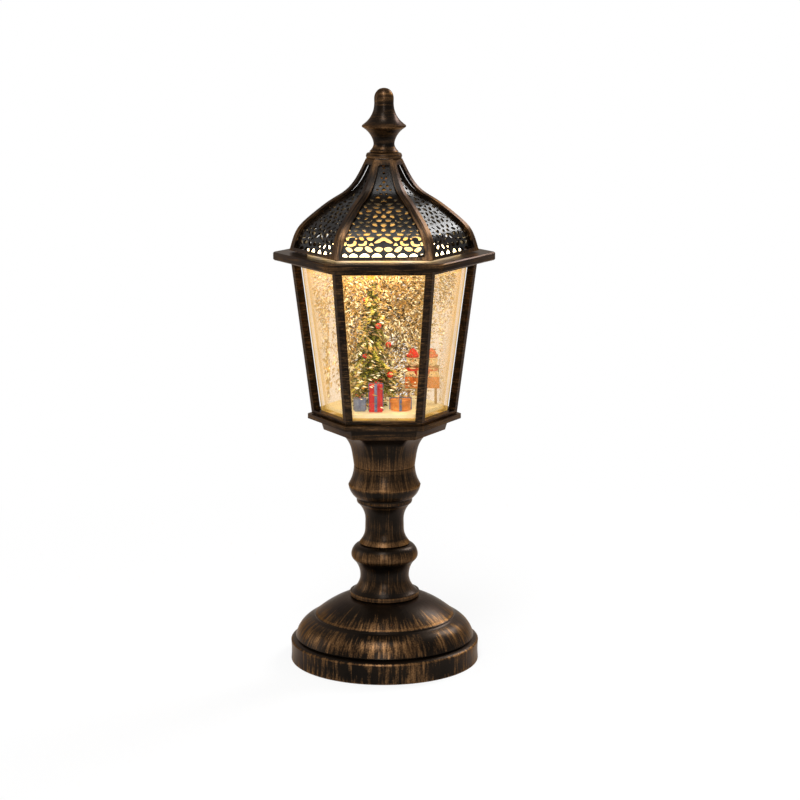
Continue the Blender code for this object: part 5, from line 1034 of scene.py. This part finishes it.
class LANTERN_OT_tank(LanternOperator, bpy.types.Operator):
    """The clear tank, its lid, its seal and its filler plug"""

    bl_idname = "lantern.tank"
    bl_label = "Tank"

    def make(self, colours, sizes):
        coat("tank", clear_wall("tank_acrylic", (0.66, 0.39, 0.09), 0.010, 0.66))
        coat("tank_lid", clear_wall("lid_acrylic", colours.glow, 0.04, 0.4))
        rubber = painted("seal_rubber_grain", (0.16, 0.15, 0.13), (0.26, 0.25, 0.22), 400.0, 0.7)
        coat("tank_gasket", rubber)
        coat("filler_plug", rubber)


class LANTERN_OT_glitter(LanternOperator, bpy.types.Operator):
    """Glitter that drifts in the tank, in four kinds of foil"""

    bl_idname = "lantern.glitter"
    bl_label = "Glitter"

    def make(self, colours, sizes):
        kinds = (("white", (1.0, 0.84, 0.50), 0.9, 0.2, 0.8),
                 ("gold", (0.68, 0.43, 0.13), 0.38, 0.25, 1.6),
                 ("tan", (0.36, 0.23, 0.09), 0.25, 0.35, 1.7),
                 ("umber", (0.06, 0.042, 0.02), 0.0, 0.3, 1.1))
        for index, (tone, colour, glow, gloss, crowd) in enumerate(kinds):
            count = round(sizes.flakes * crowd)
            flakes = glitter("glitter_" + tone, count, sizes.flake, index + 1, self.blocked)
            dress(flakes, metal_flake("foil_" + tone, colour, glow, gloss))

    def blocked(self, place):
        """Whether a place is inside one of the figures that stand in the tank."""
        return any(all(low[axis] < place[axis] < high[axis] for axis in range(3))
                   for low, high in FIGURE_BOXES)


class LANTERN_OT_snow(LanternOperator, bpy.types.Operator):
    """Drifted snow over the tank's floor"""

    bl_idname = "lantern.snow"
    bl_label = "Snow"

    def make(self, colours, sizes):
        f = Finish("lit_snow")
        drift = f.noise(f.place(), 160.0, 4.0, 0.6)
        grain = f.noise(f.place(), 2600.0, 2.0, 0.7)
        shade = tuple(value * 0.86 for value in colours.snow)
        paint = f.mix(drift.clamped(0.3, 0.7), shade, tuple(colours.snow))
        finish = f.surface(
            base_color=paint, roughness=0.55, normal=f.bump(drift * 0.6 + grain * 0.4, 0.5, 0.0003),
            emission_color=paint, emission_strength=0.32,
        )
        dress_node("snow_ground", finish, 1)


class LANTERN_OT_tree(LanternOperator, bpy.types.Operator):
    """The fir with its needles, baubles and star"""

    bl_idname = "lantern.tree"
    bl_label = "Tree"

    def make(self, colours, sizes):
        tones = (("olive", (0.13, 0.14, 0.012), (0.34, 0.34, 0.04), 0.10, 11, 0.6),
                 ("green", (0.010, 0.020, 0.004), (0.035, 0.055, 0.010), 0.0, 12, 0.65),
                 ("yellow", (0.62, 0.52, 0.06), (0.90, 0.80, 0.18), 0.30, 13, 0.28))
        for tone, low, high, glow, seed, kept in tones:
            foliage = tree_foliage(sizes, tone, seed, kept)
            finish = painted("fir_" + tone, low, high, 500.0, 0.5, glow)
            dress(foliage, finish, nodes=["tree"] if tone == "green" else ())
        self.trunk()
        self.baubles()
        gold = painted("star_gold", (0.90, 0.34, 0.015), (1.0, 0.52, 0.05), 300.0, 0.25, 0.4, coat=0.5)
        dress(star_mesh(), gold, nodes=["tree_star"])

    def trunk(self):
        low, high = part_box("tree")
        bm = bmesh.new()
        height = high.z - low.z
        outline = [(0, 0), (0.0026, 0), (0.0019, 0.0012), (0.0016, 0.006), (0.0011, height * 0.5),
                   (0.0003, height - 0.001), (0, height)]
        lathe(bm, outline, middle("tree"), 12)
        bark = painted("bark", (0.05, 0.025, 0.01), (0.13, 0.07, 0.03), 700.0, 0.8)
        dress(piece_from(bm, "tree_trunk"), bark)

    def baubles(self):
        low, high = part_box("tree")
        axis = middle("tree")
        spread = (high.x - low.x) / 2
        draw = random.Random(5)
        groups = (("red", (0.55, 0.010, 0.005), (0.80, 0.03, 0.015), 9, 0.0017),
                  ("cream", (0.80, 0.62, 0.25), (1.0, 0.88, 0.52), 11, 0.0015),
                  ("gold", (0.75, 0.38, 0.04), (0.95, 0.56, 0.10), 8, 0.0012))
        for name, dim, lit, count, size in groups:
            bm = bmesh.new()
            for k in range(count):
                share = (k + draw.uniform(0.1, 0.9)) / count * 0.86 + 0.02
                turn = k * 2.4 + draw.uniform(-0.5, 0.5) + len(name)
                reach = spread * (1 - share) ** TREE_TAPER * 0.9 + 0.0008
                height = low.z + TREE_FOOT + (high.z - low.z - TREE_FOOT) * share
                hung = Vector((axis.x + reach * math.cos(turn), axis.y + reach * math.sin(turn), height))
                ball(bm, hung, size * draw.uniform(0.7, 1.0), 14)
            finish = painted("bauble_" + name, dim, lit, 200.0, 0.2, 0.2, coat=0.8)
            dress(piece_from(bm, "baubles_" + name), finish)


class LANTERN_OT_parcels(LanternOperator, bpy.types.Operator):
    """Three parcels at the tree's foot"""

    bl_idname = "lantern.parcels"
    bl_label = "Parcels"

    def make(self, colours, sizes):
        wraps = {"tall_gift": ((0.42, 0.004, 0.004), (0.66, 0.010, 0.008), "gift_red"),
                 "small_gift": ((0.12, 0.16, 0.24), (0.26, 0.31, 0.40), "gift_blue")}
        blue = painted("ribbon_blue", (0.08, 0.11, 0.20), (0.18, 0.22, 0.34), 500.0, 0.35, 0.05)
        red = painted("ribbon_red", (0.50, 0.008, 0.006), (0.76, 0.02, 0.012), 500.0, 0.35, 0.1)
        for name, (dim, lit, slot) in wraps.items():
            wrap, low, high = parcel(name)
            dress(wrap, painted(name + "_paper", dim, lit, 300.0, 0.35, 0.08), nodes=[name])
            band = bmesh.new()
            ribbon_round(band, low, high, (high.x - low.x) * 0.2, 0.0002)
            dress(piece_from(band, name + "_ribbon"), blue)
            knot = bmesh.new()
            bow(knot, Vector(((low.x + high.x) / 2, (low.y + high.y) / 2, high.z)), (high.x - low.x) * 0.42)
            dress(piece_from(knot, name + "_bow"), red)
        self.round_parcel(blue)

    def round_parcel(self, blue):
        low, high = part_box("round_gift")
        centre = middle("round_gift")
        radius = (high.x - low.x) / 2 - 0.0003
        height = high.z - low.z
        bm = bmesh.new()
        outline = [(0, 0), (radius * 0.93, 0), (radius * 0.95, 0.0003), (radius * 0.95, height * 0.62),
                   (radius, height * 0.63), (radius, height * 0.86), (radius * 0.9, height * 0.95),
                   (0, height * 0.97)]
        lathe(bm, outline, centre, 40)
        paper = painted("round_paper", (0.52, 0.15, 0.03), (0.78, 0.30, 0.07), 260.0, 0.4, 0.1)
        dress(piece_from(bm, "round_gift_box"), paper, nodes=["round_gift"])
        band = bmesh.new()
        reach = Vector((radius + 0.0002, radius * 0.12, 0))
        for turn in (0, math.pi / 2):
            spun = Matrix.Rotation(turn, 3, "Z") @ reach
            wide = Vector((abs(spun.x), abs(spun.y), 0))
            foot = centre + Vector((0, 0, 0.0001))
            block(band, foot - wide, centre + wide + Vector((0, 0, height)), 0.0001)
        dress(piece_from(band, "round_gift_ribbon"), blue)


class LANTERN_OT_bench(LanternOperator, bpy.types.Operator):
    """The bench with two snowmen under one blanket"""

    bl_idname = "lantern.bench"
    bl_label = "Bench"

    def make(self, colours, sizes):
        wood = painted("bench_paint", (0.16, 0.075, 0.03), (0.34, 0.18, 0.08), 350.0, 0.5, 0.05)
        dress_node("bench", wood, 0)
        snow = painted("snowman_white", (0.72, 0.50, 0.22), (0.95, 0.76, 0.42), 260.0, 0.5, 0.15)
        wool = painted("knitted_red", (0.42, 0.006, 0.004), (0.70, 0.020, 0.012), 900.0, 0.8, 0.08)
        coal = painted("coal", (0.01, 0.01, 0.01), (0.04, 0.03, 0.03), 900.0, 0.4)
        carrot = painted("carrot", (0.9, 0.25, 0.03), (1.0, 0.4, 0.08), 500.0, 0.5, 0.1)
        for name, hand in (("snowman_left", 1), ("snowman_right", -1)):
            parts = snowman(name, hand)
            for part, finish in zip(parts, (snow, wool, coal, carrot)):
                dress(part, finish, nodes=[name] if part is parts[0] else ())
        knit = painted("blanket_wool", (0.60, 0.12, 0.012), (0.88, 0.24, 0.03), 700.0, 0.8, 0.1)
        dress(self.blanket(), knit, nodes=["lap_blanket"])

    def blanket(self):
        """A knitted blanket over both laps, folded down over the seat's front."""
        low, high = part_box("lap_blanket")
        bm = bmesh.new()
        across, down = 48, 16
        folds, fold_depth, lap_depth = 9, 0.00022, 0.0006
        rows = []
        for row in range(down + 1):
            line = []
            for k in range(across + 1):
                share = k / across
                height = high.z + (low.z - high.z) * row / down
                fold = math.sin(share * math.pi * folds + row * 0.15) * fold_depth * row / down
                lap = -lap_depth * abs(math.sin(share * math.pi * 2)) * (1 - row / down)
                across_at = low.x + (high.x - low.x) * share
                line.append(bm.verts.new((across_at, (low.y + high.y) / 2 + fold + lap, height)))
            rows.append(line)
        for upper, lower in zip(rows, rows[1:]):
            for k in range(across):
                bm.faces.new((upper[k], upper[k + 1], lower[k + 1], lower[k])).smooth = True
        bmesh.ops.solidify(bm, geom=bm.faces[:], thickness=0.0006)
        return piece_from(bm, "blanket")


class LANTERN_OT_lamp(LanternOperator, bpy.types.Operator):
    """The lit diffuser, its lamp board, the frosted shade over them and the lamp's leads"""

    bl_idname = "lantern.lamp"
    bl_label = "Lamp"

    def make(self, colours, sizes):
        coat("diffuser", self.lit("diffuser_glow", colours.glow, "diffuser", 7.5))
        coat("led", self.lit("led_glow", colours.glow, "led", 12.0))
        coat("led_board", painted("board_white", (0.6, 0.55, 0.45), (0.8, 0.75, 0.6), 300.0, 0.5, 0.2))
        dress(self.shade(), self.lit_shade(colours.glow))
        sleeve = painted("lead_sleeve_grain", (0.02, 0.02, 0.02), (0.06, 0.05, 0.05), 500.0, 0.5)
        coat("led_leads", sleeve)
        coat("motor_leads", sleeve)

    def shade(self):
        """A frosted shade that stands on the diffuser, round the lamp board."""
        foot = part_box("diffuser")[0].z + SHADE_SEAT
        bm = bmesh.new()
        outline = [(SHADE_FOOT_RADIUS, foot)]
        for run in OGEE_RUNS[4:-5:3]:
            reach, height, _ = face_point(run, PANEL_DEPTH)
            outline.append((reach * SHADE_SHARE, height))
        lathe(bm, outline, Vector(), 36)
        piece = piece_from(bm, "lamp_shade")
        wall = piece.modifiers.new("Wall", "SOLIDIFY")
        wall.thickness = SHADE_WALL
        return piece

    def lit_shade(self, glow):
        """Painted light: glow emitted by the shade itself, strongest by the lamp and fading up the shade.
        """
        f = Finish("shade_painted_glow")
        _, _, z = f.split(f.place())
        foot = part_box("diffuser")[0].z
        mottle = f.noise(f.place(), 140.0, 3.0)
        rise = ((z - foot) / (DOME_FOOT + DOME_RISE - foot) + (mottle - 0.5) * 0.5).clamped(0.0, 1.0)
        stops = ((0.0, (1.0, 0.74, 0.34)), (0.22, (0.95, 0.56, 0.16)),
                 (0.5, (0.50, 0.24, 0.05)), (0.85, (0.05, 0.02, 0.005)))
        paint = f.node("ShaderNodeValToRGB", {"ramp": stops}, {"Fac": rise}, output="Color")
        return f.surface(
            base_color=paint, roughness=0.55 + mottle * 0.2, emission_color=paint, emission_strength=0.75,
        )

    def lit(self, name, colour, node, strength):
        """Glow that is strong on the underside and dim on top, where the lamp board shades it."""
        f = Finish(name)
        low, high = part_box(node)
        rise = (f.split(f.place())[2] - low.z) / (high.z - low.z)
        mottle = f.noise(f.place(), 120.0, 3.0)
        pale = tuple(0.5 + value * 0.5 for value in colour)
        paint = f.mix(mottle.clamped(0.3, 0.7), tuple(colour), pale)
        glow = f.mix(rise.clamped(0.2, 0.5), paint, (0.15, 0.09, 0.03))
        return f.surface(base_color=paint, roughness=0.5, emission_color=glow, emission_strength=strength)


class LANTERN_OT_drive(LanternOperator, bpy.types.Operator):
    """The motor, its magnet, the impeller and the tube that ties the column together"""

    bl_idname = "lantern.drive"
    bl_label = "Drive"

    def make(self, colours, sizes):
        zinc = self.metal("brushed_zinc", (0.42, 0.42, 0.43), (0.62, 0.62, 0.63))
        for node in ("motor", "motor_plate", "tie_tube", "upper_tube_nut", "lower_tube_nut", "finial_nut"):
            coat(node, zinc)
        coat("drive_magnet", self.metal("ferrite_grain", (0.04, 0.04, 0.045), (0.09, 0.09, 0.1)))
        coat("impeller", painted("impeller_white", (0.75, 0.74, 0.7), (0.9, 0.9, 0.86), 200.0, 0.4))

    def metal(self, name, low, high):
        f = Finish(name)
        x, y, z = f.split(f.place())
        brush = f.noise(f.join(x * 300, y * 300, z * 2500), 1.0, 3.0)
        paint = f.mix(brush.clamped(0.3, 0.7), low, high)
        return f.surface(base_color=paint, metallic=0.9, roughness=0.3 + brush * 0.2)


class LANTERN_OT_underside(LanternOperator, bpy.types.Operator):
    """The base plate with its battery bay, boards, switch and socket"""

    bl_idname = "lantern.underside"
    bl_label = "Underside"

    def make(self, colours, sizes):
        moulding = self.grained("black_moulding", (0.012, 0.012, 0.012), (0.035, 0.033, 0.03))
        for node in ("base_plate", "battery_bay", "battery_door"):
            coat(node, moulding)
        zinc = bpy.data.materials["brushed_zinc"]
        for node in ("base_screw_1", "base_screw_2", "base_screw_3", "contact_front", "contact_rear",
                     "usb_socket", "switch_body"):
            coat(node, zinc)
        jacket = painted("cell_sleeve", (0.09, 0.1, 0.11), (0.2, 0.21, 0.23), 120.0, 0.3, coat=0.4)
        for k in range(3):
            coat(f"battery_cell_{k + 1}", jacket)
        mask = painted("board_green_mask", (0.01, 0.07, 0.03), (0.03, 0.16, 0.07), 300.0, 0.35)
        coat("control_board", mask)
        coat("switch_slider", self.grained("slider_white", (0.65, 0.65, 0.63), (0.8, 0.8, 0.78)))

    def grained(self, name, low, high):
        f = Finish(name)
        grain = f.noise(f.place(), 1600.0, 3.0, 0.6)
        tone = f.noise(f.place(), 60.0, 2.0)
        paint = f.mix(tone.clamped(0.35, 0.65), low, high)
        return f.surface(base_color=paint, roughness=0.5 + grain * 0.2, normal=f.bump(grain, 0.4, 0.0001))


STEPS = (
    LANTERN_OT_stage, LANTERN_OT_base, LANTERN_OT_column, LANTERN_OT_window_frame, LANTERN_OT_roof,
    LANTERN_OT_finial, LANTERN_OT_tank, LANTERN_OT_glitter, LANTERN_OT_snow, LANTERN_OT_tree,
    LANTERN_OT_parcels, LANTERN_OT_bench, LANTERN_OT_lamp, LANTERN_OT_drive, LANTERN_OT_underside,
)


class LANTERN_PT_steps(bpy.types.Panel):
    """The lantern's sizes, colours and steps"""

    bl_idname = "LANTERN_PT_steps"
    bl_label = "Lantern"
    bl_space_type = "VIEW_3D"
    bl_region_type = "UI"
    bl_category = "Lantern"

    def draw(self, context):
        layout = self.layout
        for group in (getattr(context.scene, name) for name in GROUPS):
            for name in group.bl_rna.properties.keys():
                if name not in ("rna_type", "name"):
                    layout.prop(group, name)
        for step in STEPS:
            layout.operator(step.bl_idname)


GROUPS = {"lantern_colours": LanternColours, "lantern_sizes": LanternSizes, "lantern_stage": LanternStage}


def register():
    for made in (*GROUPS.values(), *STEPS, LANTERN_PT_steps):
        bpy.utils.register_class(made)
    for name, group in GROUPS.items():
        setattr(bpy.types.Scene, name, PointerProperty(type=group))


def unregister():
    for name in GROUPS:
        delattr(bpy.types.Scene, name)
    for made in reversed((*GROUPS.values(), *STEPS, LANTERN_PT_steps)):
        bpy.utils.unregister_class(made)


def main():
    """Runs every step in order."""
    register()
    for step in STEPS:
        getattr(bpy.ops.lantern, step.bl_idname.split(".")[1])()


if __name__ == "__main__":
    main()
